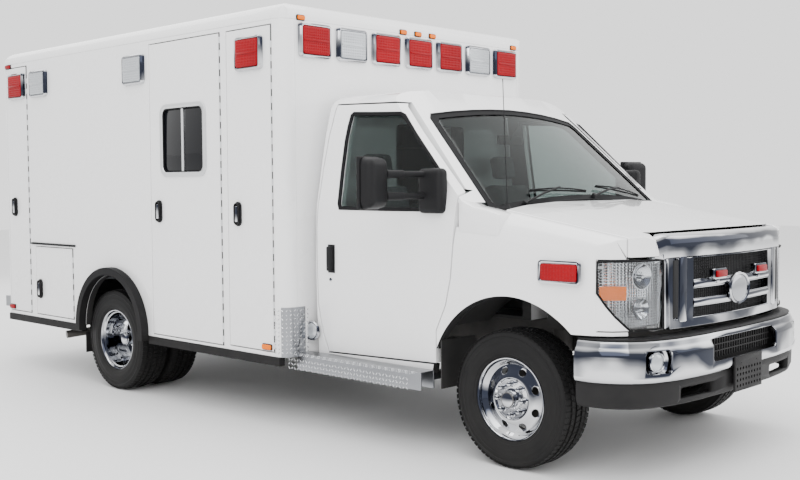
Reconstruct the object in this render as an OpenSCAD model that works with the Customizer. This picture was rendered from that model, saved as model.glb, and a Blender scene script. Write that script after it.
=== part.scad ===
// Box ambulance on a cutaway van chassis, built as separate panels, doors, wheels and fittings.
// The vehicle faces -Y, +Z is up, and its own right side is -X. Heights are measured from the floor.
// Lengths named below are measured along Y from the front axle; placed() then centres the vehicle.

/* [Chassis] */
// Distance between the front and rear axles
wheelbase = 3505; // [3400:5:3700]
// Width across the outside of the two frame rails
rail_span = 864; // [820:2:900]
// Height of a frame rail
rail_h = 176; // [140:2:200]
// Width of a frame rail
rail_w = 80; // [60:2:100]
// Height of the top of the frame rails
rail_top = 740; // [700:5:760]

/* [Wheels] */
// Outside diameter of a tyre
tyre_d = 740; // [690:2:780]
// Width of a tyre
tyre_w = 223; // [190:1:245]
// Diameter of the rim's outer lip
rim_d = 440; // [400:2:460]
// Distance between the middles of the front tyres
front_track = 1764; // [1700:2:1800]
// Distance between the middles of the left and right pairs of rear tyres
rear_track = 1922; // [1880:2:1950]
// Distance between the middles of twin rear tyres
twin_gap = 267; // [250:1:290]
// Diameter of a wheel spindle
spindle_d = 80; // [60:1:100]
// Distance between the steering pivots
pivot_span = 1600; // [1560:2:1640]

/* [Cab] */
// Width of the cab at its belt line
cab_w = 2008; // [1960:2:2060]
// Height of the lowest edge of the cab
cab_low = 440; // [420:2:460]
// Height of the belt line under the side glass
belt_z = 1380; // [1340:2:1400]
// Height of the top of the roof
roof_z = 2090; // [2040:2:2140]
// Width across the roof at the top of the side glass
roof_w = 1744; // [1700:2:1800]
// Position of the back of the cab
cab_back = 1490; // [1460:2:1520]
// Thickness of the cab's doors and walls
cab_wall = 60; // [50:1:70]
// Position of the foot of the windshield on the centre line
screen_y = 130; // [100:2:150]
// Slope of the windshield from level
screen_tilt = 41.7; // [41:0.1:44]
// Radius of the windshield's curve
screen_r = 4200; // [3800:50:4600]
// Thickness of every pane of glass
glass_t = 6; // [4:1:8]
// Thickness of the hood
hood_t = 25; // [18:1:35]
// Thickness of the front fenders
fender_t = 18; // [12:1:25]
// Half width of the hood
hood_half = 850; // [800:5:880]
// Radius of the opening over a front wheel
arch_r = 545; // [500:5:555]

/* [Front end] */
// Reach of the bumper ahead of the front axle
bumper_reach = 857; // [820:1:900]
// Height of the bumper's top edge
bumper_top = 742; // [710:2:755]
// Height of the bumper's chrome face
bumper_h = 222; // [180:2:240]
// Height of the top of the grille
grille_top = 1248; // [1200:2:1260]
// Height of the foot of the grille
grille_low = 766; // [762:2:790]
// Radius of the grille's curve seen from above
grille_r = 3600; // [3000:50:4200]
// Distance between the two holes of the plate holder
plate_holes = 178; // [150:1:200]
// Diameter of the plate holder's holes
plate_hole_d = 7; // [5:0.5:9]

/* [Patient box] */
// Width of the box
box_w = 2416; // [2300:4:2500]
// Length of the box
box_len = 3600; // [3400:10:4300]
// Position of the front face of the box
box_start = 1553; // [1530:1:1600]
// Height of the lower edge of the box
box_low = 443; // [420:1:460]
// Height of the top of the box
box_top = 2615; // [2500:5:2750]
// Thickness of the box walls and of its doors
box_wall = 50; // [35:1:65]
// Radius of the box's upright front corners
corner_r = 95; // [60:1:100]
// Radius of the roof's side edges
eave_r = 100; // [60:1:110]
// Thickness of the box floor
floor_t = 50; // [30:1:60]
// Clearance round every door, hood and lid
door_gap = 6; // [5:0.5:9]
// Thickness of locker liners and other sheet boxes
sheet_t = 15; // [8:1:20]
// Depth of the side lockers behind the wall
locker_depth = 450; // [350:5:460]
// Depth of the step behind the box
step_depth = 297; // [200:1:350]
// Radius inside a rear wheel flare
flare_r = 403; // [395:1:430]
// Width of the rubber of a rear wheel flare
flare_w = 55; // [40:1:60]
// How far a rear wheel flare stands out
flare_out = 60; // [40:1:70]

/* [Fittings] */
// Width of a warning lamp
lamp_w = 260; // [220:1:280]
// Height of a warning lamp
lamp_h = 211; // [180:1:220]
// Spacing of the row of lamps on the front of the box
lamp_pitch = 316; // [300:1:325]
// How far a warning lamp stands out
lamp_out = 34; // [25:1:45]
// Width of a mirror housing
mirror_w = 205; // [180:1:240]
// Height of a mirror housing
mirror_h = 287; // [240:1:320]
// Diameter of the steering wheel
wheel_rim_d = 390; // [360:2:420]

/* [Hidden] */
$fn = 64;

axle_z = tyre_d / 2;
cab_half = cab_w / 2;
box_half = box_w / 2;
box_end = box_start + box_len;
floor_z = rail_top + floor_t;
eave_z = box_top - eave_r;
rail_in = rail_span / 2 - rail_w;
rail_end = box_end - box_wall - door_gap;
rear_y = box_end + step_depth;
mid_y = (rear_y - bumper_reach) / 2;
big = 6000;

// side door, lockers and lamps, each placed from the box's own front face or rear wheel
side_door_y = box_start + 621;
side_door_w = 811;
side_door_low = box_low + 23;
side_door_top = eave_z - 33;
locker_front_y = box_start + 101;
locker_front_w = 448;
locker_low_y = wheelbase + 582;
locker_low_w = 589;
locker_low_h = 545;
locker_rear_w = 352;
locker_rear_y = box_end - 33 - locker_rear_w;
locker_foot = box_low + 31;
locker_top = eave_z - 34;
side_lamp_z = eave_z - 190;
front_lamp_z = eave_z - 121;
rear_door_half = 634;
door_t = box_wall - door_gap;
rear_door_top = eave_z - 75;
rear_door_low = 680;
window_low = 1580;
window_h = 466;
wheel_house_r = flare_r + 30;

// ---------------------------------------------------------------- helpers

// moves a part from the axle frame to the vehicle's own middle
module placed() {
    translate([0, -mid_y, 0]) children();
}

// the children and their mirror image on the other side
module both_sides() {
    children();
    mirror([1, 0, 0]) children();
}

// an outline in Y and Z, carried along X
module along_x(x0, x1) {
    translate([x0, 0, 0]) rotate([90, 0, 90]) linear_extrude(x1 - x0) children();
}

// an outline in X and Z, carried along Y
module along_y(y0, y1) {
    translate([0, y1, 0]) rotate([90, 0, 0]) linear_extrude(y1 - y0) children();
}

// an outline in X and Y, carried along Z
module along_z(z0, z1) {
    translate([0, 0, z0]) linear_extrude(z1 - z0) children();
}

module block(low, high) {
    translate(low) cube(high - low);
}

// rectangle with round corners, from its low corner to its high corner
module round_rect(low, high, r) {
    translate([low[0] + r, low[1]]) square([high[0] - low[0] - 2 * r, high[1] - low[1]]);
    translate([low[0], low[1] + r]) square([high[0] - low[0], high[1] - low[1] - 2 * r]);
    for (x = [low[0] + r, high[0] - r], y = [low[1] + r, high[1] - r])
        translate([x, y]) circle(r);
}

// a half outline of [x, z] points with its mirror image, as one closed outline
module twin_outline(half) {
    other = [for (i = [len(half) - 1 : -1 : 0]) if (half[i][0] > 0) [-half[i][0], half[i][1]]];
    polygon(concat(half, other));
}

// a straight round bar between two points
module bar(a, b, d) {
    v = b - a;
    l = norm(v);
    translate(a) rotate([0, acos(v[2] / l), atan2(v[1], v[0])]) cylinder(h = l, d = d);
}

// ---------------------------------------------------------------- chassis

module chassis_frame() {
    color("dimgray") placed() {
        for (s = [-1, 1])
            difference() {
                block([s * rail_span / 2 - (s > 0 ? rail_w : 0), -760, rail_top - rail_h],
                    [s * rail_span / 2 + (s > 0 ? 0 : rail_w), rail_end, rail_top]);
                block([s * rail_in - (s > 0 ? 1 : rail_w - 10), -761, rail_top - rail_h + 10],
                    [s * rail_in + (s > 0 ? rail_w - 10 : 1), rail_end + 1, rail_top - 10]);
            }
        // cross members, one of them resting on the fuel tank
        for (y = [-640, 1250, wheelbase - 1100, wheelbase - 640, wheelbase + 330, wheelbase + 800,
            rail_end - 90])
            block([-rail_in - 8, y, rail_top - 80], [rail_in + 8, y + 60, rail_top - 10]);
        // hangers that carry the rear springs
        both_sides() for (y = [wheelbase - 700, wheelbase + 640])
            block([rail_span / 2 - 1, y, rail_top - 260], [rail_span / 2 + 140, y + 60, rail_top - 150]);
    }
}

module front_axle() {
    // twin forged beams, each with its radius arm
    color("darkgray") placed() {
        both_sides() {
            block([40, -35, axle_z - 60], [pivot_span / 2 - 100, 35, axle_z - 10]);
            block([pivot_span / 2 - 150, -35, axle_z - 125], [pivot_span / 2 - 78, 35, axle_z + 30]);
            // ear under the knuckle
            block([pivot_span / 2 - 90, -35, axle_z - 125], [pivot_span / 2 + 22, 35, axle_z - 90.3]);
            bar([500, 30, axle_z - 35], [470, 1150, rail_top - rail_h - 40], 50);
            block([rail_in, 1120, rail_top - rail_h - 70], [rail_span / 2 + 90, 1200, rail_top - rail_h]);
            // springs that stand on the beams
            translate([500, 0, axle_z - 12]) cylinder(h = rail_top - axle_z + 60, d = 110);
            block([rail_span / 2, -60, rail_top - 40], [rail_span / 2 + 130, 60, rail_top + 60]);
        }
        block([-60, -50, axle_z - 70], [60, 50, axle_z + 60]);
        block([-rail_in, -45, axle_z + 40], [rail_in, 45, axle_z + 110]);
    }
}

// radius of the final drive's housing
housing_r = 165;

module rear_axle() {
    spindle_end = rear_track / 2 + 105;
    color("dimgray") placed() {
        translate([0, wheelbase, axle_z]) rotate([0, 90, 0])
            cylinder(h = rear_track - twin_gap - tyre_w - 60, d = 110, center = true);
        translate([0, wheelbase, axle_z]) rotate([0, 90, 0])
            cylinder(h = 2 * spindle_end, d = spindle_d, center = true);
        // housing of the final drive
        translate([0, wheelbase, axle_z]) rotate([0, 90, 0]) rotate_extrude()
            polygon([[0, -150], [70, -150], [140, -85], [housing_r, -25], [housing_r, 25],
                [140, 85], [70, 150], [0, 150]]);
        both_sides() {
            // brake drum inside the inner wheel
            translate([rear_track / 2 - 225, wheelbase, axle_z]) rotate([0, 90, 0])
                cylinder(h = 120, d = 300);
            // leaf spring, clamped under its two hangers
            block([rail_span / 2 + 60, wheelbase - 700, rail_top - 310],
                [rail_span / 2 + 130, wheelbase + 700, rail_top - 260]);
            block([rail_span / 2 + 50, wheelbase - 110, axle_z - 75],
                [rail_span / 2 + 135, wheelbase + 110, rail_top - 300]);
        }
    }
}

module drivetrain() {
    shaft_start = [0, 1190, 530];
    shaft_end = [0, wheelbase - housing_r - 0.5, axle_z + 10];
    color("gray") placed() {
        block([-300, -560, 590], [300, 400, 1110]);
        block([-160, 380, 450], [160, 1200, 625]);
        bar(shaft_start, shaft_end, 90);
    }
}

module exhaust() {
    lane = rear_track / 2 - twin_gap / 2 - tyre_w / 2 - 66;
    tail_y = wheelbase + 470;
    route = [[-250, 400, 640], [-250, 520, 640], [-250, 700, 480], [-250, 1300, 480],
        [-560, 1960, 500], [-560, 2700, 500], [-lane, 2900, 485], [-lane, tail_y, 480],
        [-lane - 60, tail_y + 150, 380], [-box_half + 30, tail_y + 290, 335]];
    color("darkgray") placed() {
        for (i = [0 : len(route) - 2])
            bar(route[i], route[i + 1], 60);
        for (i = [1 : len(route) - 2])
            translate(route[i]) sphere(d = 68);
        translate([-560, 2000, 500]) rotate([-90, 0, 0]) cylinder(h = 660, d = 180);
        // hangers up to the frame rail and the floor
        block([-570, 2280, 580], [-550, 2330, rail_top]);
        block([-lane - 8, tail_y - 110, 505], [-lane + 8, tail_y - 70, rail_top]);
    }
}

module fuel_tank() {
    color("black") placed()
        along_y(wheelbase + 420, wheelbase + 1280)
            round_rect([-rail_in + 12, 440], [rail_in - 12, rail_top - 80], 40);
}

// ---------------------------------------------------------------- cab

// height up the glasshouse, from 0 at the belt line to 1 at the top of the roof
function up(k) = belt_z + k * (roof_z - belt_z);

// half of the cab seen from the front, t inside its outer surface
function cab_section(t) = [
    [0, cab_low + t],
    [cab_half - 19 - t, cab_low + t],
    [cab_half - 6 - t, 700],
    [cab_half - t, 1000],
    [cab_half - 2 - t, 1250],
    [cab_half - 10 - t, belt_z],
    [cab_half - 30 - t, up(0.14)],
    [roof_w / 2 + 81 - t, up(0.31)],
    [roof_w / 2 + 43 - t, up(0.592)],
    [roof_w / 2 - t, up(0.817)],
    [roof_w / 2 - 12 - t, up(0.86) - t * 0.3],
    [roof_w / 2 - 36 - t * 0.8, up(0.9) - t * 0.6],
    [roof_w / 2 - 82 - t * 0.6, up(0.935) - t * 0.8],
    [roof_w / 2 - 160 - t * 0.3, up(0.96) - t],
    [roof_w / 2 - 330, up(0.98) - t],
    [roof_w / 2 - 560, up(0.993) - t],
    [0, roof_z - t]
];

// outline of the cab seen from the side, its glass line held outside the curved screen
function cab_profile(t) = [
    [screen_y + t, cab_low + t],
    [cab_back - t, cab_low + t],
    [cab_back - t, roof_z - 6 - t],
    [1150, roof_z + 1 - t],
    [1000, roof_z - 8 - t],
    [900, roof_z - 22 - t],
    [820, roof_z - 44 - t],
    [760, roof_z - 68 - t],
    [700, roof_z - 104 - t],
    [screen_y + t, belt_z + 40 - t]
];

// the big curved drum whose side is the windshield, t inside the outer surface
module screen_drum(t) {
    translate([0, screen_y, belt_z + 20]) rotate([screen_tilt - 90, 0, 0])
        translate([0, screen_r, -big / 2]) cylinder(h = big, r = screen_r - t, $fn = 320);
}

module cab_volume(t) {
    intersection() {
        along_y(0, cab_back - t) twin_outline(cab_section(t));
        along_x(-cab_half, cab_half) polygon(cab_profile(t));
        screen_drum(t);
    }
}

// outline of a side door, grown by g
function door_outline(g) = [
    [395 - g, 990],
    [352 - g, belt_z + 60],
    [352 - g, up(0.845) + g],
    [900, up(0.845) + g],
    [1435 + g, up(0.868) + g],
    [1452 + g, up(0.6)],
    [1467 + g, up(0.31)],
    [1478 + g, 1236],
    [1474 + g, 770],
    [1440 + g, 600],
    [1393 + g, 480 - g],
    [512 - g, 506 - g],
    [505 - g, 690],
    [432 - g, 840]
];

// the door's frame wraps the corner beside the windshield, down to the cowl
module door_space(g) {
    intersection() {
        along_x(-big, big) polygon(door_outline(g));
        along_y(0, cab_back) both_sides()
            polygon([[cab_half - 190 - g, 300], [big, 300], [big, up(1)], [748 - g, up(1)],
                [769 - g, up(0.86)], [905 - g, belt_z + 105], [905 - g, belt_z + 102 - g],
                [cab_half - 190 - g, belt_z + 88 - g]]);
    }
}

// everything ahead of the door's front edge
module ahead_of_door(g) {
    along_x(-big, big)
        polygon([[-1200, -100], [-1200, 1600], [352 - g, 1600], [352 - g, belt_z + 60],
            [395 - g, 990], [432 - g, 840], [505 - g, 690], [512 - g, 300], [512 - g, -100]]);
}

// outline of the glass in a side door
module window_outline(g) {
    polygon([[462 - g, belt_z - 20 - g], [1278 + g, belt_z - 18 - g], [1290 + g, belt_z + 10],
        [1296 + g, up(0.55)], [1284 + g, up(0.77)], [1270, up(0.783) + g], [870, up(0.756) + g],
        [838 - g, up(0.735) + g], [474 - g, up(0.235)], [456 - g, up(0.1)]]);
}

// the windshield's outline on its own slope, from the cowl up, shrunk by g
module screen_outline(g) {
    polygon([[-852 + g, 60 + g], [-830, 20 + g], [0, 14 + g], [830, 20 + g], [852 - g, 60 + g],
        [728 - g, 806 - g], [700, 842 - g], [0, 850 - g], [-700, 842 - g], [-728 + g, 806 - g]]);
}

module through_screen(g) {
    translate([0, screen_y, belt_z + 20]) rotate([screen_tilt, 0, 0])
        translate([0, 0, -420]) linear_extrude(620) screen_outline(g);
}

// the wheel's side of the cab, behind a front wheel
wheel_side = 620;

module cab_shell() {
    floor_top = rail_top + 20;
    color("white") placed() {
        difference() {
            cab_volume(0);
            // cab space above the floor
            difference() {
                cab_volume(cab_wall);
                block([-cab_half, 0, 0], [cab_half, cab_back, floor_top]);
            }
            // space under the floor, between the sills
            block([-cab_half + 74, -10, 0], [cab_half - 74, cab_back + 10, rail_top]);
            // engine space through the bulkhead, closed by the cover inside
            block([-340, 0, rail_top - 1], [340, 830, 1140]);
            door_space(door_gap + 2);
            // the fender's skin passes outside the cowl
            difference() {
                ahead_of_door(0);
                nose_volume(fender_t + 1);
                block([-big, 0, belt_z + 22], [big, 900, 1700]);
            }
            through_screen(0);
            // thin edge left between the hood and the glass
            block([-340, 0, belt_z + 18], [340, screen_y + 24, belt_z + 34]);
            // walk-through to the box
            along_y(cab_back - 200, cab_back + 1) round_rect([-340, floor_top], [340, 1900], 40);
            both_sides() block([wheel_side, 0, 0], [big, 130 + cab_wall, rail_top]);
            intersection() {
                arch_cut();
                both_sides() block([wheel_side, 0, 0], [big, 900, big]);
            }
        }
        // liner of the wheel's arch
        difference() {
            intersection() {
                translate([0, 0, axle_z]) rotate([0, 90, 0])
                    cylinder(h = 2 * cab_half - 160, r = arch_r + 14, center = true, $fn = 192);
                both_sides() block([wheel_side, screen_y + 10, rail_top - 20],
                    [cab_half - 80, 520, big]);
            }
            arch_cut();
        }
        // bellows round the walk-through
        difference() {
            block([-380, cab_back, floor_top - 12], [380, box_start, 1940]);
            block([-340, cab_back - 1, floor_top + 30], [340, box_start + 1, 1900]);
        }
    }
}

module arch_cut() {
    translate([0, 0, axle_z]) rotate([0, 90, 0]) cylinder(h = big, r = arch_r, center = true, $fn = 192);
}

module windshield() {
    color([0.12, 0.14, 0.15]) placed()
        intersection() {
            difference() {
                screen_drum(5);
                screen_drum(5 + glass_t);
            }
            through_screen(0.4);
        }
}

// ---------------------------------------------------------------- front end

// half of the front end seen from the front, at the foot of the windshield
function nose_section(t) = [
    [0, 300],
    [cab_half - 8 - t, 300],
    [cab_half - t, 900],
    [cab_half - 2 - t, 1130],
    [cab_half - 10 - t, 1200],
    [cab_half - 28 - t * 0.95, 1262 - t * 0.3],
    [cab_half - 60 - t * 0.8, 1310 - t * 0.6],
    [cab_half - 105 - t * 0.5, 1342 - t * 0.85],
    [cab_half - 165 - t * 0.3, 1362 - t],
    [cab_half - 330, 1382 - t],
    [cab_half - 600, 1396 - t],
    [0, 1404 - t]
];

// the hood line seen from the side, down to the nose
function nose_profile(t) = [
    [600, 300],
    [600, belt_z + 25 - t],
    [screen_y, belt_z + 22 - t],
    [-150, belt_z - 4 - t],
    [-330, belt_z - 32 - t],
    [-480, belt_z - 66 - t],
    [-580, belt_z - 94 - t],
    [-650, belt_z - 122 - t],
    [-700 + t * 0.5, belt_z - 160 - t * 0.8],
    [-728 + t, belt_z - 210 - t * 0.3],
    [-742 + t, 1080],
    [-746 + t, 300]
];

// the nose seen from above
function nose_plan(t) = [
    [0, 600],
    [cab_half - t, 600],
    [cab_half - t, -150],
    [cab_half - 5 - t, -290],
    [cab_half - 18 - t, -400],
    [cab_half - 44 - t * 0.9, -500 + t * 0.3],
    [cab_half - 92 - t * 0.7, -584 + t * 0.7],
    [cab_half - 170 - t * 0.5, -648 + t * 0.9],
    [cab_half - 300 - t * 0.2, -700 + t],
    [cab_half - 500, -730 + t],
    [0, -748 + t]
];

nose_fall = 9.7;

module nose_volume(t) {
    intersection() {
        translate([0, screen_y, 1000]) rotate([nose_fall, 0, 0]) translate([0, -screen_y, -1000])
            along_y(-1200, 700) twin_outline(nose_section(t));
        along_x(-cab_half, cab_half) polygon(nose_profile(t));
        along_z(200, 1500) twin_outline(nose_plan(t));
    }
}

// space that belongs to the hood, grown by g
module hood_space(g) {
    along_x(-hood_half - g, hood_half + g)
        polygon([[screen_y - 6 + g, 1600], [screen_y - 6 + g, 1180 - g], [-420, 1150 - g],
            [-560, 1136 - g], [-900, 1136 - g], [-900, 1600]]);
}

module grille_space(g) {
    along_y(-1000, -600)
        polygon([[-640 - g, 700], [640 + g, 700], [642 + g, 1100], [690 + g, 1210],
            [690 + g, grille_top + g], [-690 - g, grille_top + g], [-690 - g, 1210],
            [-642 - g, 1100]]);
}

// the headlamp's outline seen from the side
module lamp_space(g) {
    along_x(-big, big)
        polygon([[-900, 772 - g], [-640 + g, 772 - g], [-520 + g, 948], [-516 + g, 1110 + g],
            [-524 + g, 1126 + g], [-900, 1126 + g]]);
}

module hood() {
    color("white") placed()
        difference() {
            intersection() {
                nose_volume(0);
                hood_space(0);
            }
            nose_volume(hood_t);
            grille_space(door_gap + 2);
        }
}

module front_fenders() {
    color("white") placed()
        difference() {
            union() {
                difference() {
                    nose_volume(0);
                    nose_volume(fender_t);
                    hood_space(door_gap);
                    lamp_space(2);
                    along_y(-1000, -500) square([2 * hood_half, 4000], center = true);
                }
                // inner aprons with the shelves that carry the skins
                intersection() {
                    nose_volume(1);
                    both_sides() {
                        block([560, -640, 880], [580, screen_y, 1130]);
                        block([560, -600, 1080], [cab_half, screen_y, 1095]);
                    }
                }
                // radiator and the panel that carries it, with rubber stops for the hood
                block([-620, -640, rail_top], [620, -600, 1180]);
                intersection() {
                    nose_volume(hood_t + 4);
                    both_sides() translate([500, -618, 1170]) cylinder(h = 200, d = 30);
                }
                // sill of the fender, behind the wheel
                both_sides() block([cab_half - 60, 470, 470], [cab_half - 24, 492, 800]);
            }
            // edge along the door
            difference() {
                block([-big, 0, 0], [big, 900, 1700]);
                ahead_of_door(door_gap + 2);
            }
            // pockets of the headlamps
            difference() {
                both_sides() block([646, -1000, 0], [big, 0, big]);
                nose_volume(91);
                block([-big, -514, 0], [big, 900, big]);
                block([-big, -1000, 1128], [big, 900, big]);
                block([-big, -1000, 0], [big, 900, 770]);
            }
            // the cab and its windshield stand behind the fenders
            block([-cab_half + fender_t + 1, screen_y, 0], [cab_half - fender_t - 1, 900, 1600]);
            screen_clear();
            arch_cut();
            // the bumper's end and the space under the sill
            block([-big, -1000, 0], [big, -380, bumper_top + 8]);
            block([-big, -1000, 0], [big, 900, 446]);
        }
}

// what the windshield needs above the cowl
module screen_clear() {
    translate([0, screen_y - 6, belt_z + 20]) rotate([screen_tilt, 0, 0])
        block([-big, 0, -14], [big, 900, 600]);
}

module grille() {
    centre_y = -785 + grille_r;
    color("silver") placed() {
        // arms back to the radiator panel
        both_sides() block([590, -690, 820], [606, -640, 1080]);
        difference() {
            intersection() {
                difference() {
                    translate([0, centre_y, 0]) cylinder(h = 1400, r = grille_r, $fn = 256);
                    translate([0, centre_y, -1]) cylinder(h = 1500, r = grille_r - 62, $fn = 256);
                }
                along_y(-900, -600)
                    polygon([[-616, grille_low], [616, grille_low], [632, 1100], [680, 1205],
                        [680, grille_top], [-680, grille_top], [-680, 1205], [-632, 1100]]);
            }
            // outer openings with their upright bars
            both_sides() for (i = [0 : 3])
                block([500 + i * 26, -900, grille_low + 50], [514 + i * 26, -600, 1120]);
            // centre openings above and below the two bars
            for (z = [[grille_low + 50, 868], [912, 962], [1010, 1120]])
                block([-430, -900, z[0]], [430, -600, z[1]]);
            hood_space(door_gap + 4);
        }
    }
}

module headlamps() {
    color([0.85, 0.87, 0.9]) placed()
        difference() {
            intersection() {
                nose_volume(0);
                lamp_space(-2);
            }
            nose_volume(90);
            along_y(-1000, -500) square([2 * 648, 4000], center = true);
            grille_space(6);
        }
}

// the bumper's outer line seen from above, t inside
function bumper_plan(t) = [
    [0, -bumper_reach + 8 + t],
    [380, -bumper_reach + 14 + t],
    [640, -bumper_reach + 42 + t],
    [800, -bumper_reach + 92 + t * 0.9],
    [905, -bumper_reach + 166 + t * 0.7],
    [965, -bumper_reach + 246 + t * 0.5],
    [996 - t * 0.9, -bumper_reach + 330 + t * 0.2],
    [cab_half + 2 - t, -490],
    [cab_half + 2 - t, -420]
];

module plan_band(outer, inner) {
    n = len(outer);
    half = concat(outer, [for (i = [n - 1 : -1 : 0]) inner[i]]);
    both_sides() polygon(half);
}

module front_bumper() {
    skirt_low = 390;
    face_low = bumper_top - bumper_h;
    color("silver") placed() {
        difference() {
            union() {
                along_z(face_low, bumper_top) plan_band(bumper_plan(0), bumper_plan(55));
                // black skirt under the chrome
                along_z(skirt_low, face_low + 1)
                    intersection() {
                        plan_band(bumper_plan(18), bumper_plan(70));
                        translate([-big, -big]) square([2 * big, big - 505]);
                    }
                // brackets on the frame rails
                both_sides() block([rail_in + 10, -bumper_reach + 60, rail_top - rail_h],
                    [rail_in + 60, -760, rail_top - 10]);
                // holder for the number plate
                block([-158, -bumper_reach, 398], [158, -bumper_reach + 20, 585]);
            }
            // air slot in the middle
            along_y(-big, 0) round_rect([-365, 586], [365, 700], 22);
            // fog lamp recesses
            both_sides() along_y(-big, -700) translate([775, 628]) circle(d = 100);
            for (x = [-1, 1] * plate_holes / 2)
                translate([x, -bumper_reach - 1, 548]) rotate([-90, 0, 0])
                    cylinder(h = 22, d = plate_hole_d);
        }
    }
}

// ---------------------------------------------------------------- cab fittings

column_foot = [430, 330, 1084];
column_head = [430, 600, 1240];
column_angle = atan2(column_head[2] - column_foot[2], column_head[1] - column_foot[1]);
column_axis = [0, cos(column_angle), sin(column_angle)];

module dashboard() {
    floor_top = rail_top + 20;
    wall_y = screen_y + cab_wall + 0.4;
    color("dimgray") placed() {
        difference() {
            union() {
                intersection() {
                    cab_volume(cab_wall + 0.4);
                    along_x(-cab_half, cab_half)
                        polygon([[wall_y, 1000], [430, 1000], [470, 1080], [430, 1290],
                            [300, 1345], [wall_y, 1330]]);
                }
                // engine cover
                block([-360, wall_y, floor_top], [360, 470, 1130]);
                block([-360, 460, floor_top], [360, 845, 960]);
            }
            block([-345, 0, 0], [345, 455, 1115]);
            block([-345, 0, 0], [345, 830, 945]);
            // clear of the doors' inner faces
            both_sides() block([cab_half - cab_wall - 40, 0, 0], [cab_half, 900, 1600]);
        }
        bar(column_foot, column_head - 15.3 * column_axis, 60);
    }
}

module steering_wheel() {
    color("dimgray") placed()
        translate(column_head) rotate([column_angle - 90, 0, 0]) {
            rotate_extrude() translate([wheel_rim_d / 2 - 15, 20]) circle(d = 30, $fn = 32);
            translate([0, 0, -15]) cylinder(h = 45, d = 120);
            for (a = [20, 160, 270])
                rotate([0, 0, a]) block([50, -18, 11], [wheel_rim_d / 2 - 14, 18, 24]);
        }
}

module cab_seats() {
    color("slategray") placed() both_sides() {
        block([430, 680, rail_top + 20], [830, 1120, 860]);
        block([400, 640, 860], [860, 1150, 1000]);
        translate([0, 1100, 930]) rotate([-12, 0, 0]) block([400, 0, 0], [860, 130, 620]);
        translate([0, 1100, 930]) rotate([-12, 0, 0]) block([500, 15, 620], [760, 115, 810]);
    }
}

// ---------------------------------------------------------------- patient box

module box_volume() {
    intersection() {
        along_y(box_start, box_end)
            round_rect([-box_half, box_low - 400], [box_half, box_top], eave_r);
        along_x(-box_half, box_half)
            round_rect([box_start, box_low - 400], [box_end, box_top], 75);
        along_z(box_low, box_top) box_plan(0);
    }
}

// bevel of the box's upright rear corners
rear_bevel = 16;

// the box seen from above, with large front corners and small rear ones, grown by g
module box_plan(g) {
    round_rect([-box_half - g, box_start - g], [box_half + g, box_end - 200], corner_r + g);
    polygon([[-box_half - g, box_start + 300], [box_half + g, box_start + 300],
        [box_half + g, box_end - rear_bevel], [box_half - rear_bevel, box_end + g],
        [-box_half + rear_bevel, box_end + g], [-box_half - g, box_end - rear_bevel]]);
}

module box_hollow() {
    block([-box_half + box_wall, box_start + box_wall, 0],
        [box_half - box_wall, box_end - box_wall, box_top - box_wall]);
}

module box_shell() {
    difference() {
        box_volume();
        box_hollow();
    }
}

// the flat middle of the front and rear walls lies between the corner posts
front_flat = box_half - corner_r - 10;

module box_roof() {
    color("white") placed()
        intersection() {
            box_shell();
            block([-big, 0, eave_z], [big, big, big]);
        }
}

module door_hole_x(side, y, w, z0, z1) {
    block([side > 0 ? 0 : -big, y - door_gap, z0 - door_gap],
        [side > 0 ? big : 0, y + w + door_gap, z1 + door_gap]);
}

module box_side(side) {
    difference() {
        intersection() {
            box_shell();
            block([side > 0 ? front_flat : -big, 0, 0], [side > 0 ? big : -front_flat, big, eave_z]);
        }
        // round opening over the rear wheels
        translate([0, wheelbase, box_low + 7]) rotate([0, 90, 0])
            cylinder(h = big, r = flare_r, center = true, $fn = 96);
        door_hole_x(side, locker_front_y, locker_front_w, locker_foot, locker_top);
        door_hole_x(side, locker_rear_y, locker_rear_w, locker_foot, locker_top);
        if (side < 0) {
            door_hole_x(side, side_door_y, side_door_w, side_door_low, side_door_top);
            door_hole_x(side, locker_low_y, locker_low_w, locker_foot, locker_foot + locker_low_h);
        }
        if (side > 0)
            door_hole_x(side, side_door_y, side_door_w, locker_foot, locker_foot + mid_locker_h);
    }
}

module box_side_right() {
    color("white") placed() box_side(-1);
}

module box_side_left() {
    color("white") placed() box_side(1);
}

module box_front() {
    color("white") placed()
        difference() {
            intersection() {
                box_shell();
                block([-front_flat, 0, 0], [front_flat, box_start + 400, eave_z]);
            }
            along_y(box_start - 1, box_start + 100)
                round_rect([-340, floor_z + 1], [340, 1900], 40);
            // the frame passes below
            block([-650, 0, 0], [650, big, rail_top]);
        }
}

module box_rear() {
    color("white") placed()
        difference() {
            intersection() {
                box_shell();
                block([-front_flat, box_end - 400, 0], [front_flat, big, eave_z]);
            }
            block([-rear_door_half - door_gap, 0, rear_door_low - door_gap],
                [rear_door_half + door_gap, big, rear_door_top + door_gap]);
            block([-rail_span / 2 - 8, 0, 0], [rail_span / 2 + 8, big, rear_door_low]);
        }
}

// outer space of a locker liner behind its door
module liner_space(y, w, z0, z1, g) {
    block([-box_half + box_wall - g, y - sheet_t - g, z0 - sheet_t - g],
        [-box_half + box_wall + locker_depth + g, y + w + sheet_t + g, z1 + sheet_t + g]);
}

module liner(y, w, z0, z1) {
    difference() {
        liner_space(y, w, z0, z1, 0);
        block([-box_half, y, z0], [-box_half + box_wall + locker_depth - sheet_t, y + w, z1]);
    }
}

mid_locker_h = 620;
rear_liner_w = box_end - box_wall - sheet_t - locker_rear_y;

module right_liner_spaces(g) {
    liner_space(locker_front_y, locker_front_w, locker_foot, locker_top, g);
    liner_space(locker_low_y, locker_low_w, locker_foot, locker_foot + locker_low_h, g);
    liner_space(locker_rear_y, rear_liner_w, locker_foot, locker_top, g);
}

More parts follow.
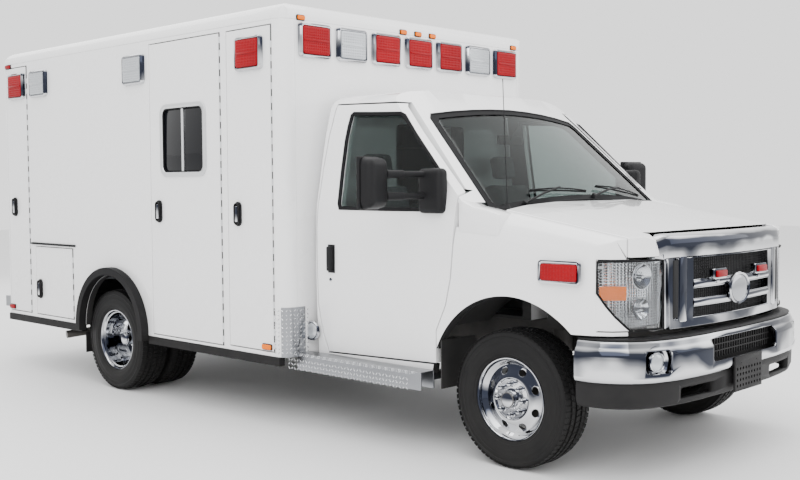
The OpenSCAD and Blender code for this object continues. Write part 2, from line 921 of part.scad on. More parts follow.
module left_liner_spaces(g) {
    mirror([1, 0, 0]) {
        liner_space(locker_front_y, locker_front_w, locker_foot, locker_top, g);
        liner_space(side_door_y, side_door_w, locker_foot, locker_foot + mid_locker_h, g);
        liner_space(locker_rear_y, rear_liner_w, locker_foot, locker_top, g);
    }
}

// the outside of the boxes over the rear wheels
module wheel_house(g) {
    both_sides()
        block([box_half - box_wall - 468 - g, wheelbase - wheel_house_r - g, rail_top - 60],
            [box_half - box_wall, wheelbase + wheel_house_r + g, axle_z + wheel_house_r + 90 + g]);
}

module box_floor() {
    step_in = box_half - box_wall - 330;
    color("lightgray") placed() {
        difference() {
            block([-box_half + box_wall, box_start + box_wall, rail_top],
                [box_half - box_wall, box_end - box_wall, floor_z]);
            right_liner_spaces(0);
            left_liner_spaces(0);
            wheel_house(0);
            // well of the side door
            block([-big, side_door_y, 0], [-step_in, side_door_y + side_door_w, big]);
        }
        // boxes over the wheels
        difference() {
            wheel_house(0);
            both_sides() block([box_half - box_wall - 468 + sheet_t, wheelbase - wheel_house_r + sheet_t, 0],
                [box_half, wheelbase + wheel_house_r - sheet_t, axle_z + wheel_house_r + 90 - sheet_t]);
        }
        // step inside the side door
        difference() {
            block([-box_half + box_wall, side_door_y, locker_foot],
                [-step_in, side_door_y + side_door_w, rail_top + 20]);
            block([-box_half, side_door_y + sheet_t, locker_foot + 25],
                [-step_in - sheet_t, side_door_y + side_door_w - sheet_t, big]);
        }
    }
}

cabinet_front = box_half - box_wall - 400;

module interior_cabinets() {
    bench_y = side_door_y + side_door_w + 20;
    bench_end = locker_low_y + locker_low_w + sheet_t + 20;
    bench_in = box_half - box_wall - 520;
    left_y = locker_front_y + locker_front_w + sheet_t + 40;
    left_end = locker_rear_y - sheet_t - 40;
    color("gainsboro") placed() {
        liner(locker_front_y, locker_front_w, locker_foot, locker_top);
        liner(locker_low_y, locker_low_w, locker_foot, locker_foot + locker_low_h);
        liner(locker_rear_y, rear_liner_w, locker_foot, locker_top);
        mirror([1, 0, 0]) {
            liner(locker_front_y, locker_front_w, locker_foot, locker_top);
            liner(side_door_y, side_door_w, locker_foot, locker_foot + mid_locker_h);
            liner(locker_rear_y, rear_liner_w, locker_foot, locker_top);
        }
        // base of the squad bench, a box over the wheel and the low locker
        difference() {
            block([-box_half + box_wall, bench_y, floor_z], [-bench_in, bench_end, 1170]);
            block([-box_half, bench_y + sheet_t, floor_z - 1],
                [-bench_in - sheet_t, bench_end - sheet_t, 1170 - sheet_t]);
        }
        // wall cabinets on the left with open bays
        difference() {
            block([cabinet_front, left_y, 1330], [box_half - box_wall, left_end, 2280]);
            for (i = [0 : 3]) {
                bay = (left_end - left_y - sheet_t) / 4;
                for (z = [1330 + sheet_t, 1812])
                    block([cabinet_front - 1, left_y + sheet_t + i * bay, z],
                        [box_half - box_wall - sheet_t, left_y + (i + 1) * bay, z + 453]);
            }
        }
    }
}

module bench_cushion() {
    bench_y = side_door_y + side_door_w + 20;
    bench_end = locker_low_y + locker_low_w + sheet_t + 20;
    bench_in = box_half - box_wall - 520;
    color("steelblue") placed()
        block([-box_half + box_wall + 5, bench_y + 5, 1170.3], [-bench_in, bench_end - 5, 1250]);
}

module rear_step() {
    color("silver") placed() {
        difference() {
            block([-1100, box_end, 470], [1100, rear_y, 560]);
            block([-1095, box_end - 1, 400], [1095, rear_y - 5, 555]);
        }
        both_sides() block([rail_in, box_end - 20, 480], [rail_span / 2, rear_y - 4, 556]);
        both_sides() block([rail_in, rail_end - 60, 480], [rail_span / 2, box_end - 19, rail_top - rail_h]);
    }
}

// ---------------------------------------------------------------- trim

module rub_rails() {
    flare_base = box_low + 7;
    rail_low = box_low - 55;
    color([0.12, 0.12, 0.13]) placed() both_sides() {
        block([-box_half - 8, box_start + 47, rail_low], [-box_half + 40, wheelbase - flare_r - 60, box_low]);
        block([-box_half - 8, wheelbase + flare_r + 60, rail_low], [-box_half + 40, box_end - 2, box_low]);
        // flare over the rear wheels
        difference() {
            translate([-box_half - flare_out, wheelbase, flare_base]) rotate([0, 90, 0])
                cylinder(h = flare_out - 0.2, r = flare_r + flare_w, $fn = 96);
            translate([-box_half - flare_out - 1, wheelbase, flare_base]) rotate([0, 90, 0])
                cylinder(h = flare_out + 2, r = flare_r, $fn = 96);
            block([-big, 0, -big], [0, big, rail_low + 20]);
        }
        // mud flap, hung from the floor behind the wheels
        block([-box_half + 15, wheelbase + wheel_house_r, 230],
            [-box_half + 480, wheelbase + wheel_house_r + 10, rail_low - 1]);
        block([-box_half + box_wall + 2, wheelbase + wheel_house_r, rail_low - 2],
            [-box_half + 480, wheelbase + wheel_house_r + 10, rail_top]);
    }
}

module running_boards() {
    board_out = cab_half + 108;
    color("silver") placed() both_sides() {
        difference() {
            block([-board_out, 512, 366], [-cab_half + 4, box_start - 2, 468]);
            block([-board_out + 6, 500, 360], [-cab_half - 6, box_start - 8, 462]);
        }
        block([-cab_half + 4, 560, 400], [-700, 620, cab_low]);
        block([-cab_half + 4, 1380, 400], [-700, 1440, cab_low]);
        // stone guard round the corner of the box
        difference() {
            along_z(box_low, 752) box_plan(4);
            along_z(box_low - 1, 760) box_plan(0.2);
            block([-big, box_start + 47, 0], [big, big, big]);
            block([-front_flat + 60, 0, 0], [big, big, big]);
        }
        // splash guard behind the front wheel
        block([-cab_half + 8, 462, 366], [-cab_half + 300, 470, 640]);
    }
}

// a warning lamp that faces +Z, with its bevelled bezel
module lamp() {
    for (s = [[0, 14, 0], [14, lamp_out - 10, 12], [lamp_out - 10, lamp_out, 18]])
        translate([0, 0, s[0]]) linear_extrude(s[1] - s[0])
            round_rect([-lamp_w / 2 + s[2], -lamp_h / 2 + s[2]], [lamp_w / 2 - s[2], lamp_h / 2 - s[2]], 24);
}

// a lamp on the right side wall, its middle at y and z
module side_lamp(y, z) {
    translate([-box_half, y, z]) rotate([90, 0, -90]) lamp();
}

module warning_lamps() {
    scene_lamp_y = [side_door_y + side_door_w + 183, locker_rear_y - 216];
    color("firebrick") placed() {
        for (i = [-3 : 3])
            translate([i * lamp_pitch, box_start, front_lamp_z]) rotate([90, 0, 0]) lamp();
        both_sides() for (y = scene_lamp_y)
            side_lamp(y, side_lamp_z);
        // rear row, with the tail lamps below
        both_sides() {
            translate([front_flat - 150, box_end, front_lamp_z]) rotate([90, 0, 180]) lamp();
            translate([front_flat - 150, box_end, 2060]) rotate([90, 0, 180]) lamp();
            translate([front_flat - 150, box_end, 900]) rotate([90, 0, 180]) lamp();
        }
        // small marker lamps over the front and rear rows
        for (x = [-146, 0, 146, -box_half + 152, box_half - 152])
            block([x - 25, box_start - 18, eave_z + 1], [x + 25, box_start, eave_z + 24]);
        // red lamps in the fenders
        difference() {
            both_sides() block([-cab_half - 22, -452, 1002], [-cab_half + 12, -216, 1116]);
            nose_volume(-0.3);
        }
    }
}

// ---------------------------------------------------------------- doors

// a flat door seen from above, its free edge bevelled inside
module panel_plan(w) {
    polygon([[0, 0], [0, w], [20, w], [door_t, w - 8], [door_t, 0]]);
}

// a flat door in a side wall; its lamp, if any, stands on it
module side_panel(side, y, w, z0, z1) {
    mirror([side > 0 ? 1 : 0, 0, 0]) along_z(z0, z1) translate([-box_half, y]) panel_plan(w);
}

// upright paddle handle on its plate
module paddle(side, y, z) {
    block([side > 0 ? box_half - 5 : -box_half - 24, y - 30, z - 72],
        [side > 0 ? box_half + 24 : -box_half + 5, y + 30, z + 72]);
}

module side_door() {
    color("white") placed()
        difference() {
            union() {
                side_panel(-1, side_door_y, side_door_w, side_door_low, side_door_top);
                paddle(-1, side_door_y + side_door_w - 105, 1328);
            }
            side_window_hole(0);
        }
}

module side_window_hole(g) {
    along_x(-box_half - 50, -box_half + 100)
        round_rect([side_door_y + 166 + g, window_low + g],
            [side_door_y + side_door_w - 146 - g, window_low + window_h - g], 60);
}

module side_door_window() {
    y0 = side_door_y + 152;
    y1 = side_door_y + side_door_w - 132;
    color([0.2, 0.22, 0.24]) placed() {
        // flange on the outside and glass in the hole
        difference() {
            along_x(-box_half - 10, -box_half - 0.2)
                round_rect([y0, window_low - 14], [y1, window_low + window_h + 14], 70);
            along_x(-box_half - 11, -box_half)
                round_rect([y0 + 30, window_low + 16], [y1 - 30, window_low + window_h - 16], 44);
        }
        intersection() {
            side_window_hole(1);
            difference() {
                block([-box_half - 1, 0, 0], [-box_half + 14, big, big]);
                block([-box_half - 2, y0 + 30, window_low + 16],
                    [-box_half + 14 - glass_t, y1 - 30, window_low + window_h - 16]);
            }
        }
    }
}

module rear_door(side) {
    x0 = door_gap / 2;
    x1 = rear_door_half;
    mirror([side > 0 ? 0 : 1, 0, 0])
        difference() {
            union() {
                along_z(rear_door_low, rear_door_top)
                    translate([x1, box_end]) rotate([0, 0, 90]) mirror([1, 0]) panel_plan(x1 - x0);
                block([x0 + 60, box_end - 5, 1256], [x0 + 120, box_end + 24, 1400]);
            }
            along_y(box_end - 100, box_end + 100)
                round_rect([x0 + 130, window_low - 60], [x1 - 110, window_low + window_h], 60);
        }
}

module rear_door_right() {
    color("white") placed() rear_door(-1);
}

module rear_door_left() {
    color("white") placed() rear_door(1);
}

module rear_window(side) {
    x0 = door_gap / 2;
    x1 = rear_door_half;
    mirror([side > 0 ? 0 : 1, 0, 0]) {
        difference() {
            along_y(box_end + 0.2, box_end + 10)
                round_rect([x0 + 116, window_low - 74], [x1 - 96, window_low + window_h + 14], 70);
            along_y(box_end, box_end + 11)
                round_rect([x0 + 146, window_low - 44], [x1 - 126, window_low + window_h - 16], 44);
        }
        difference() {
            along_y(box_end - 14, box_end + 1)
                round_rect([x0 + 131, window_low - 59], [x1 - 111, window_low + window_h - 1], 59);
            block([x0 + 146, box_end - 14 + glass_t, window_low - 44],
                [x1 - 126, box_end + 2, window_low + window_h - 16]);
        }
    }
}

module rear_window_right() {
    color([0.2, 0.22, 0.24]) placed() rear_window(-1);
}

module rear_window_left() {
    color([0.2, 0.22, 0.24]) placed() rear_window(1);
}

module locker_front(side) {
    side_panel(side, locker_front_y, locker_front_w, locker_foot, locker_top);
    paddle(side, locker_front_y + locker_front_w - 110, 1323);
    mirror([side > 0 ? 1 : 0, 0, 0]) side_lamp(locker_front_y + 206, side_lamp_z);
}

module locker_rear(side) {
    side_panel(side, locker_rear_y, locker_rear_w, locker_foot, locker_top);
    paddle(side, locker_rear_y + locker_rear_w - 120, 1338);
    mirror([side > 0 ? 1 : 0, 0, 0]) side_lamp(locker_rear_y + 152, side_lamp_z);
}

module locker_front_right() {
    color("white") placed() locker_front(-1);
}

module locker_front_left() {
    color("white") placed() locker_front(1);
}

module locker_rear_right() {
    color("white") placed() locker_rear(-1);
}

module locker_rear_left() {
    color("white") placed() locker_rear(1);
}

module locker_low_right() {
    color("white") placed() {
        side_panel(-1, locker_low_y, locker_low_w, locker_foot, locker_foot + locker_low_h);
        paddle(-1, locker_low_y + locker_low_w - 73, 680);
    }
}

module locker_mid_left() {
    color("white") placed() {
        side_panel(1, side_door_y, side_door_w, locker_foot, locker_foot + mid_locker_h);
        paddle(1, side_door_y + side_door_w - 73, 760);
    }
}

module cab_door(side) {
    difference() {
        intersection() {
            difference() {
                cab_volume(0);
                along_y(-1, cab_back + 1) twin_outline(cab_section(cab_wall));
                block([-cab_half + cab_wall + 19, 0, 0], [cab_half - cab_wall - 19, big, 600]);
            }
            door_space(0);
            block([side > 0 ? 0 : -big, 0, 0], [side > 0 ? big : 0, big, big]);
        }
        along_x(-big, big) window_outline(0);
        // step in the rear edge, so that it swings clear of the post
        difference() {
            along_y(1330, cab_back + 1) twin_outline(cab_section(20));
            along_x(-big, big) polygon(door_outline(-24));
            block([-big, 0, 0], [big, big, 560]);
        }
    }
    // pull handle
    block([side > 0 ? cab_half - 20 : -cab_half - 24, 1330, 985],
        [side > 0 ? cab_half + 24 : -cab_half + 20, 1366, 1124]);
}

module cab_door_right() {
    color("white") placed() cab_door(-1);
}

module cab_door_left() {
    color("white") placed() cab_door(1);
}

module cab_glass(side) {
    intersection() {
        difference() {
            along_y(0, cab_back) twin_outline(cab_section(22));
            along_y(-1, cab_back + 1) twin_outline(cab_section(22 + glass_t));
        }
        along_x(side > 0 ? 400 : -big, side > 0 ? big : -400) window_outline(-0.5);
    }
}

module cab_glass_right() {
    color([0.12, 0.14, 0.15]) placed() cab_glass(-1);
}

module cab_glass_left() {
    color([0.12, 0.14, 0.15]) placed() cab_glass(1);
}

module mirror_unit() {
    // housing, two arms and the foot on the door
    housing_x = -1325;
    translate([housing_x, 660, 1512]) rotate([0, 0, 12])
        along_y(-48, 44) round_rect([-mirror_w / 2, -mirror_h / 2], [mirror_w / 2, mirror_h / 2], 46);
    bar([-cab_half - 20, 540, 1440], [housing_x + 60, 650, 1440], 34);
    bar([-cab_half - 20, 560, 1560], [housing_x + 60, 650, 1560], 34);
    difference() {
        block([-cab_half - 40, 430, 1345], [-cab_half + 60, 600, 1590]);
        cab_volume(-0.3);
    }
}

module mirror_right() {
    color([0.12, 0.12, 0.13]) placed() mirror_unit();
}

module mirror_left() {
    color([0.12, 0.12, 0.13]) placed() mirror([1, 0, 0]) mirror_unit();
}

// ---------------------------------------------------------------- wheels

// half section of a tyre about its middle, as [radius, offset] points
function tyre_half(s) = [
    [rim_d / 2 - 14, s * (tyre_w / 2 - 24.4)],
    [rim_d / 2 + 0.6, s * (tyre_w / 2 - 21.8)],
    [rim_d / 2 + 4, s * (tyre_w / 2 - 17)],
    [rim_d / 2 + 22, s * (tyre_w / 2 - 6)],
    [rim_d / 2 + 48, s * (tyre_w / 2 - 1)],
    [rim_d / 2 + 66, s * tyre_w / 2],
    [rim_d / 2 + 86, s * (tyre_w / 2 - 2)],
    [tyre_d / 2 - 38, s * (tyre_w / 2 - 7)],
    [tyre_d / 2 - 22, s * (tyre_w / 2 - 12)],
    [tyre_d / 2 - 11, s * (tyre_w / 2 - 18)],
    [tyre_d / 2 - 4.5, s * (tyre_w / 2 - 28)],
    [tyre_d / 2 - 1.5, s * (tyre_w / 2 - 50)],
    [tyre_d / 2, 0]
];

module tyre(x) {
    inner = [[tyre_d / 2 - 24, 0], [tyre_d / 2 - 30, -tyre_w / 2 + 40], [rim_d / 2 + 60, -tyre_w / 2 + 14],
        [rim_d / 2 - 14, -tyre_w / 2 + 34]];
    upper = [for (i = [len(inner) - 1 : -1 : 0]) if (inner[i][1] < 0) [inner[i][0], -inner[i][1]]];
    down = tyre_half(-1);
    right = tyre_half(1);
    outline = concat([for (i = [0 : len(down) - 1]) down[i]],
        [for (i = [len(right) - 2 : -1 : 0]) right[i]], upper, inner);
    translate([x, 0, 0]) rotate([0, 90, 0]) rotate_extrude($fn = 96) polygon(outline);
}

// rim about its tyre's middle, with its disc at the given offset, outwards being +X
module rim(x, disc) {
    bead = rim_d / 2 - 14.3;
    face = abs(disc);
    // the disc leaves the barrel 62 from the middle and dishes to its mounting face
    disc_points = [[spindle_d / 2 + 0.5, face - 10], [118, face - 10], [bead - 20, 56], [bead - 11, 59],
        [bead - 11, 67], [bead - 18, 67], [121, face], [spindle_d / 2 + 0.5, face]];
    translate([x, 0, 0]) rotate([0, 90, 0]) {
        rotate_extrude($fn = 96)
            polygon([[bead - 12, -tyre_w / 2 + 22], [rim_d / 2, -tyre_w / 2 + 14], [rim_d / 2, -tyre_w / 2 + 21.4],
                [bead, -tyre_w / 2 + 24], [bead - 2, -tyre_w / 2 + 36], [bead - 24, -40], [bead - 24, 30],
                [bead - 2, tyre_w / 2 - 36], [bead, tyre_w / 2 - 24], [rim_d / 2, tyre_w / 2 - 21.4],
                [rim_d / 2, tyre_w / 2 - 14], [bead - 12, tyre_w / 2 - 22], [bead - 14, tyre_w / 2 - 40],
                [bead - 34, 24], [bead - 34, -34], [bead - 14, -tyre_w / 2 + 40]]);
        difference() {
            rotate_extrude($fn = 96)
                polygon([for (p = disc_points) [p[0], sign(disc) * p[1]]]);
            for (a = [0 : 45 : 315])
                rotate([0, 0, a + 22.5]) translate([bead - 66, 0, -200]) cylinder(h = 400, d = 34);
        }
    }
}

module hub_cap(x, h) {
    translate([x, 0, 0]) rotate([0, 90, 0])
        difference() {
            cylinder(h = h, d = spindle_d + 60);
            translate([0, 0, -1]) cylinder(h = h - 12, d = spindle_d + 1);
        }
}

module wheel_place(side, y) {
    translate([0, y, axle_z]) mirror([side > 0 ? 0 : 1, 0, 0]) children();
}

front_x = front_track / 2;
twin_in = rear_track / 2 - twin_gap / 2;
twin_out = rear_track / 2 + twin_gap / 2;

module front_rim(side) {
    wheel_place(side, 0) {
        rim(front_x, 88);
        hub_cap(front_x + 76, 66);
    }
}

module rear_rim(side) {
    wheel_place(side, wheelbase) {
        rim(twin_in, twin_gap / 2);
        rim(twin_out, -twin_gap / 2);
        hub_cap(rear_track / 2 - 50, 190);
    }
}

module rim_front_right() {
    color("silver") placed() front_rim(-1);
}

module rim_front_left() {
    color("silver") placed() front_rim(1);
}

module rim_rear_right() {
    color("silver") placed() rear_rim(-1);
}

module rim_rear_left() {
    color("silver") placed() rear_rim(1);
}

module tyre_front_right() {
    color([0.1, 0.1, 0.1]) placed() wheel_place(-1, 0) tyre(front_x);
}

module tyre_front_left() {
    color([0.1, 0.1, 0.1]) placed() wheel_place(1, 0) tyre(front_x);
}

module rear_tyres(side) {
    wheel_place(side, wheelbase) {
        tyre(twin_in);
        tyre(twin_out);
    }
}

module tyre_rear_right() {
    color([0.1, 0.1, 0.1]) placed() rear_tyres(-1);
}

module tyre_rear_left() {
    color([0.1, 0.1, 0.1]) placed() rear_tyres(1);
}

// steering knuckle with its spindle and brake disc
module knuckle(side) {
    wheel_place(side, 0) {
        translate([pivot_span / 2 - 24, 0, 0]) rotate([0, 90, 0])
            cylinder(h = front_x - pivot_span / 2 + 24 + 120, d = spindle_d);
        translate([pivot_span / 2 + 42, 0, 0]) rotate([0, 90, 0]) cylinder(h = 24, d = 300);
        block([pivot_span / 2 - 50, -40, -90], [pivot_span / 2 + 44, 40, 110]);
    }
}

module knuckle_right() {
    color("dimgray") placed() knuckle(-1);
}

module knuckle_left() {
    color("dimgray") placed() knuckle(1);
}

// ---------------------------------------------------------------- drawing

chassis_frame();
front_axle();
rear_axle();
drivetrain();
exhaust();
fuel_tank();
cab_shell();
front_fenders();
windshield();
dashboard();
cab_seats();
grille();
headlamps();
warning_lamps();
front_bumper();
running_boards();
box_floor();
box_roof();
box_side_right();
box_side_left();
box_front();
box_rear();
rear_step();
rub_rails();
interior_cabinets();
bench_cushion();
hood();
cab_door_right();
cab_door_left();
cab_glass_right();
cab_glass_left();
mirror_right();
mirror_left();
side_door();
side_door_window();
rear_door_right();
rear_door_left();
rear_window_right();
rear_window_left();
locker_front_right();
locker_low_right();
locker_rear_right();
locker_front_left();
locker_mid_left();
locker_rear_left();
knuckle_right();
knuckle_left();
rim_front_right();
rim_front_left();
rim_rear_right();
rim_rear_left();
tyre_front_right();
tyre_front_left();
tyre_rear_right();
tyre_rear_left();
steering_wheel();
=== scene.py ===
"""Looks of a box ambulance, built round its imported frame.

Sizes are in metres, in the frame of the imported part: -Y is the front, +Z is up and the
vehicle's own right side is -X. Distances named along y are measured from the front axle.
"""
import logging
import math
from contextlib import contextmanager
from dataclasses import dataclass
from enum import Enum
from functools import cache
from typing import Callable, Iterator, Sequence

import bpy
from mathutils import Matrix, Vector


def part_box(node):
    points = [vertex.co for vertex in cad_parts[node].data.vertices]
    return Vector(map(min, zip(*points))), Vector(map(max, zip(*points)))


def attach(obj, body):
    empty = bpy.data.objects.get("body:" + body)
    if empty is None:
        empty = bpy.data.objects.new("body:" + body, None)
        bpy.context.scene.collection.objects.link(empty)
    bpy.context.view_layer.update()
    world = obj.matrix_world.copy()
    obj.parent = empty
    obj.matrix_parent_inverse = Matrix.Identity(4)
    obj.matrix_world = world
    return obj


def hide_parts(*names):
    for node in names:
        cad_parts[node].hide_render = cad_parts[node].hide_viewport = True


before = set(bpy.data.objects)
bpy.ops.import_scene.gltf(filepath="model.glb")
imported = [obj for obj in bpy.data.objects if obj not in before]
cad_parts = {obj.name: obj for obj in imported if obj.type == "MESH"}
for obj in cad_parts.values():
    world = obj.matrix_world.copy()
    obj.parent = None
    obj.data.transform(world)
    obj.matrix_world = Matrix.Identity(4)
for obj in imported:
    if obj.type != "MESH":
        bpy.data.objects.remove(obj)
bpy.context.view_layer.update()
log = logging.getLogger("ambulance")

Point = Sequence[float]
Outline = Sequence[tuple[float, float]]
Piece = bpy.types.Object
Face = bpy.types.MeshPolygon
FaceTest = Callable[[Face], bool]
Nodes = bpy.types.Nodes
Links = bpy.types.NodeLinks
Socket = bpy.types.NodeSocket
Tree = bpy.types.NodeTree
SIDES = ((-1, "right"), (1, "left"))
TYRE_LOW, TYRE_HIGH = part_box("tyre_front_right")
AXLE_Y = (TYRE_LOW.y + TYRE_HIGH.y) / 2
AXLE_Z = (TYRE_LOW.z + TYRE_HIGH.z) / 2
WALL = -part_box("box_side_right")[0].x
BOX_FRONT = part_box("box_front")[0].y
BOX_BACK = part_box("box_rear")[1].y
CAB_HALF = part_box("cab_shell")[1].x
BARREL_PITCH = 0.084


def along(distance: float) -> float:
    """Returns the y of a point so far behind the front axle."""
    return AXLE_Y + distance


# ---- finishes


class Grain(Enum):
    """Kinds of fine surface relief."""

    NONE = "none"
    FINE = "fine"
    LEATHER = "leather"
    WEAVE = "weave"
    BRUSHED = "brushed"
    CAST = "cast"
    CELLS = "cells"


@dataclass(frozen=True)
class Finish:
    """One procedural material.

    Attributes:
        name: Name of the material.
        slot: Material slot in the record that its pieces take, or "". It is not used.
        colour: Base colour.
        rough: Middle roughness.
        spread: How far the roughness wanders over the surface.
        metal: Metallic value.
        coat: Weight of a clear coat.
        grain: Kind of relief.
        scale: Size of the relief, as a texture scale.
        depth: Height of the relief in metres.
        mottle: How far the colour wanders over the surface.
        soil: How much road dust gathers low down.
        clear: Transmission weight, for glass and lenses.
        sheen: Sheen weight, for cloth.
        glow: Emission strength of the base colour.
        studio: How strongly a painted reflection of a studio's sky and horizon darkens the colour, for
            chrome.
        under: A height, and the colour that the surface takes below it.
        ior: Index of refraction.
    """

    name: str
    slot: str
    colour: tuple[float, float, float]
    rough: float = 0.4
    spread: float = 0.06
    metal: float = 0.0
    coat: float = 0.0
    grain: Grain = Grain.NONE
    scale: float = 200.0
    depth: float = 0.0002
    mottle: float = 0.08
    soil: float = 0.0
    clear: float = 0.0
    sheen: float = 0.0
    glow: float = 0.0
    studio: float = 0.0
    under: tuple = ()
    ior: float = 1.46

    @cache
    def build(self) -> bpy.types.Material:
        """Builds the material once and returns it."""
        made = bpy.data.materials.new("finish_" + self.name)
        made.use_nodes = True
        nodes, links = made.node_tree.nodes, made.node_tree.links
        shader = nodes["Principled BSDF"]
        for socket, value in (("Metallic", self.metal), ("Coat Weight", self.coat),
                              ("Coat Roughness", 0.04), ("Transmission Weight", self.clear),
                              ("Sheen Weight", self.sheen), ("IOR", self.ior)):
            shader.inputs[socket].default_value = value
        if self.glow:
            shader.inputs["Emission Color"].default_value = (*self.colour, 1)
            shader.inputs["Emission Strength"].default_value = self.glow
        place = nodes.new("ShaderNodeTexCoord").outputs["Object"]

        def layer(group: Tree, socket: str, value: float, output: str) -> Socket:
            """Places a group on the object's own coordinates and returns one of its outputs."""
            node = nodes.new("ShaderNodeGroup")
            node.node_tree = group
            node.inputs[socket].default_value = value
            links.new(place, node.inputs["Vector"])
            return node.outputs[output]

        cloud = layer(cloud_group(), "Scale", 2.2 if self.scale < 900 else 6.0, "Value")
        deep = tuple(c * (1 - self.mottle) for c in self.colour)
        tint = mix(nodes, links, cloud, self.colour, deep)
        # Painted reflection: by where the surface points, the colour turns towards a dark navy, as if it
        # reflected a studio's horizon and room.
        if self.studio:
            shade = layer(painted_reflection_group(), "Amount", self.studio, "Shade")
            tint = mix(nodes, links, shade, tint, (0.016, 0.02, 0.034))
        if self.under:
            below = layer(height_group(), "Height", self.under[0], "Mask")
            tint = mix(nodes, links, below, tint, self.under[1])
        if self.soil:
            dust = layer(soil_group(), "Amount", self.soil, "Mask")
            tint = mix(nodes, links, dust, tint, (0.36, 0.33, 0.29))
        links.new(tint, shader.inputs["Base Color"])
        rough = nodes.new("ShaderNodeMapRange")
        rough.inputs["To Min"].default_value = max(0.0, self.rough - self.spread)
        rough.inputs["To Max"].default_value = self.rough + self.spread
        links.new(cloud, rough.inputs["Value"])
        links.new(rough.outputs["Result"], shader.inputs["Roughness"])
        if self.grain is not Grain.NONE:
            bump = nodes.new("ShaderNodeBump")
            bump.inputs["Distance"].default_value = self.depth
            bump.inputs["Strength"].default_value = 1.0
            relief = layer(grain_group(self.grain), "Scale", self.scale, "Height")
            links.new(relief, bump.inputs["Height"])
            links.new(bump.outputs["Normal"], shader.inputs["Normal"])
        return made


def feed(links: Links, socket: Socket, value: object) -> None:
    """Links another socket to a socket, or sets it to a plain value."""
    if isinstance(value, Socket):
        links.new(value, socket)
    else:
        socket.default_value = value


def mix(nodes: Nodes, links: Links, factor: Socket,
        first: object, second: object) -> Socket:
    """Mixes two colours by a factor that changes over the surface.

    Args:
        nodes: Nodes of the material.
        links: Links of the material.
        factor: Socket that gives the factor.
        first: Colour at 0, as a socket or three numbers.
        second: Colour at 1, as a socket or three numbers.

    Returns:
        The socket with the mixed colour.
    """
    node = nodes.new("ShaderNodeMix")
    node.data_type = "RGBA"
    links.new(factor, node.inputs[0])
    for value, socket in ((first, node.inputs[6]), (second, node.inputs[7])):
        feed(links, socket, value if isinstance(value, Socket) else (*value, 1))
    return node.outputs[2]


def new_group(name: str, inputs: Sequence[str], output: str) -> tuple:
    """Starts a shader node group with a vector, named values and one output.

    Args:
        name: Name of the group.
        inputs: Names of the value inputs.
        output: Name of the output.

    Returns:
        The group, its nodes, its links, its input node and its output node.
    """
    group = bpy.data.node_groups.new(name, "ShaderNodeTree")
    group.interface.new_socket("Vector", in_out="INPUT", socket_type="NodeSocketVector")
    for word in inputs:
        group.interface.new_socket(word, in_out="INPUT", socket_type="NodeSocketFloat")
    group.interface.new_socket(output, in_out="OUTPUT", socket_type="NodeSocketFloat")
    start = group.nodes.new("NodeGroupInput")
    end = group.nodes.new("NodeGroupOutput")
    return group, group.nodes, group.links, start, end


def math_node(nodes: Nodes, links: Links, kind: str, *values: object) -> Socket:
    """Adds a math node.

    Args:
        nodes: Nodes to add to.
        links: Links to add to.
        kind: Operation of the node.
        values: Its inputs, each a socket or a number.

    Returns:
        The node's output socket.
    """
    node = nodes.new("ShaderNodeMath")
    node.operation = kind
    for value, socket in zip(values, node.inputs):
        feed(links, socket, value)
    return node.outputs[0]


@cache
def cloud_group() -> Tree:
    """Returns the group that gives a slow variation over a surface, built once."""
    group, nodes, links, start, end = new_group("slow_variation", ["Scale"], "Value")
    noise = nodes.new("ShaderNodeTexNoise")
    noise.inputs["Detail"].default_value = 6
    links.new(start.outputs["Vector"], noise.inputs["Vector"])
    links.new(start.outputs["Scale"], noise.inputs["Scale"])
    links.new(noise.outputs["Fac"], end.inputs["Value"])
    return group


@cache
def soil_group() -> Tree:
    """Returns the group that masks road dust, strongest near the floor, built once."""
    group, nodes, links, start, end = new_group("road_dust", ["Amount"], "Mask")
    parts = nodes.new("ShaderNodeSeparateXYZ")
    links.new(start.outputs["Vector"], parts.inputs[0])
    low = nodes.new("ShaderNodeMapRange")
    low.inputs["From Min"].default_value = 0.95
    low.inputs["From Max"].default_value = 0.1
    links.new(parts.outputs["Z"], low.inputs["Value"])
    noise = nodes.new("ShaderNodeTexNoise")
    noise.inputs["Scale"].default_value = 9
    noise.inputs["Detail"].default_value = 8
    links.new(start.outputs["Vector"], noise.inputs["Vector"])
    both = math_node(nodes, links, "MULTIPLY", low.outputs["Result"], noise.outputs["Fac"])
    links.new(math_node(nodes, links, "MULTIPLY", both, start.outputs["Amount"]), end.inputs["Mask"])
    return group


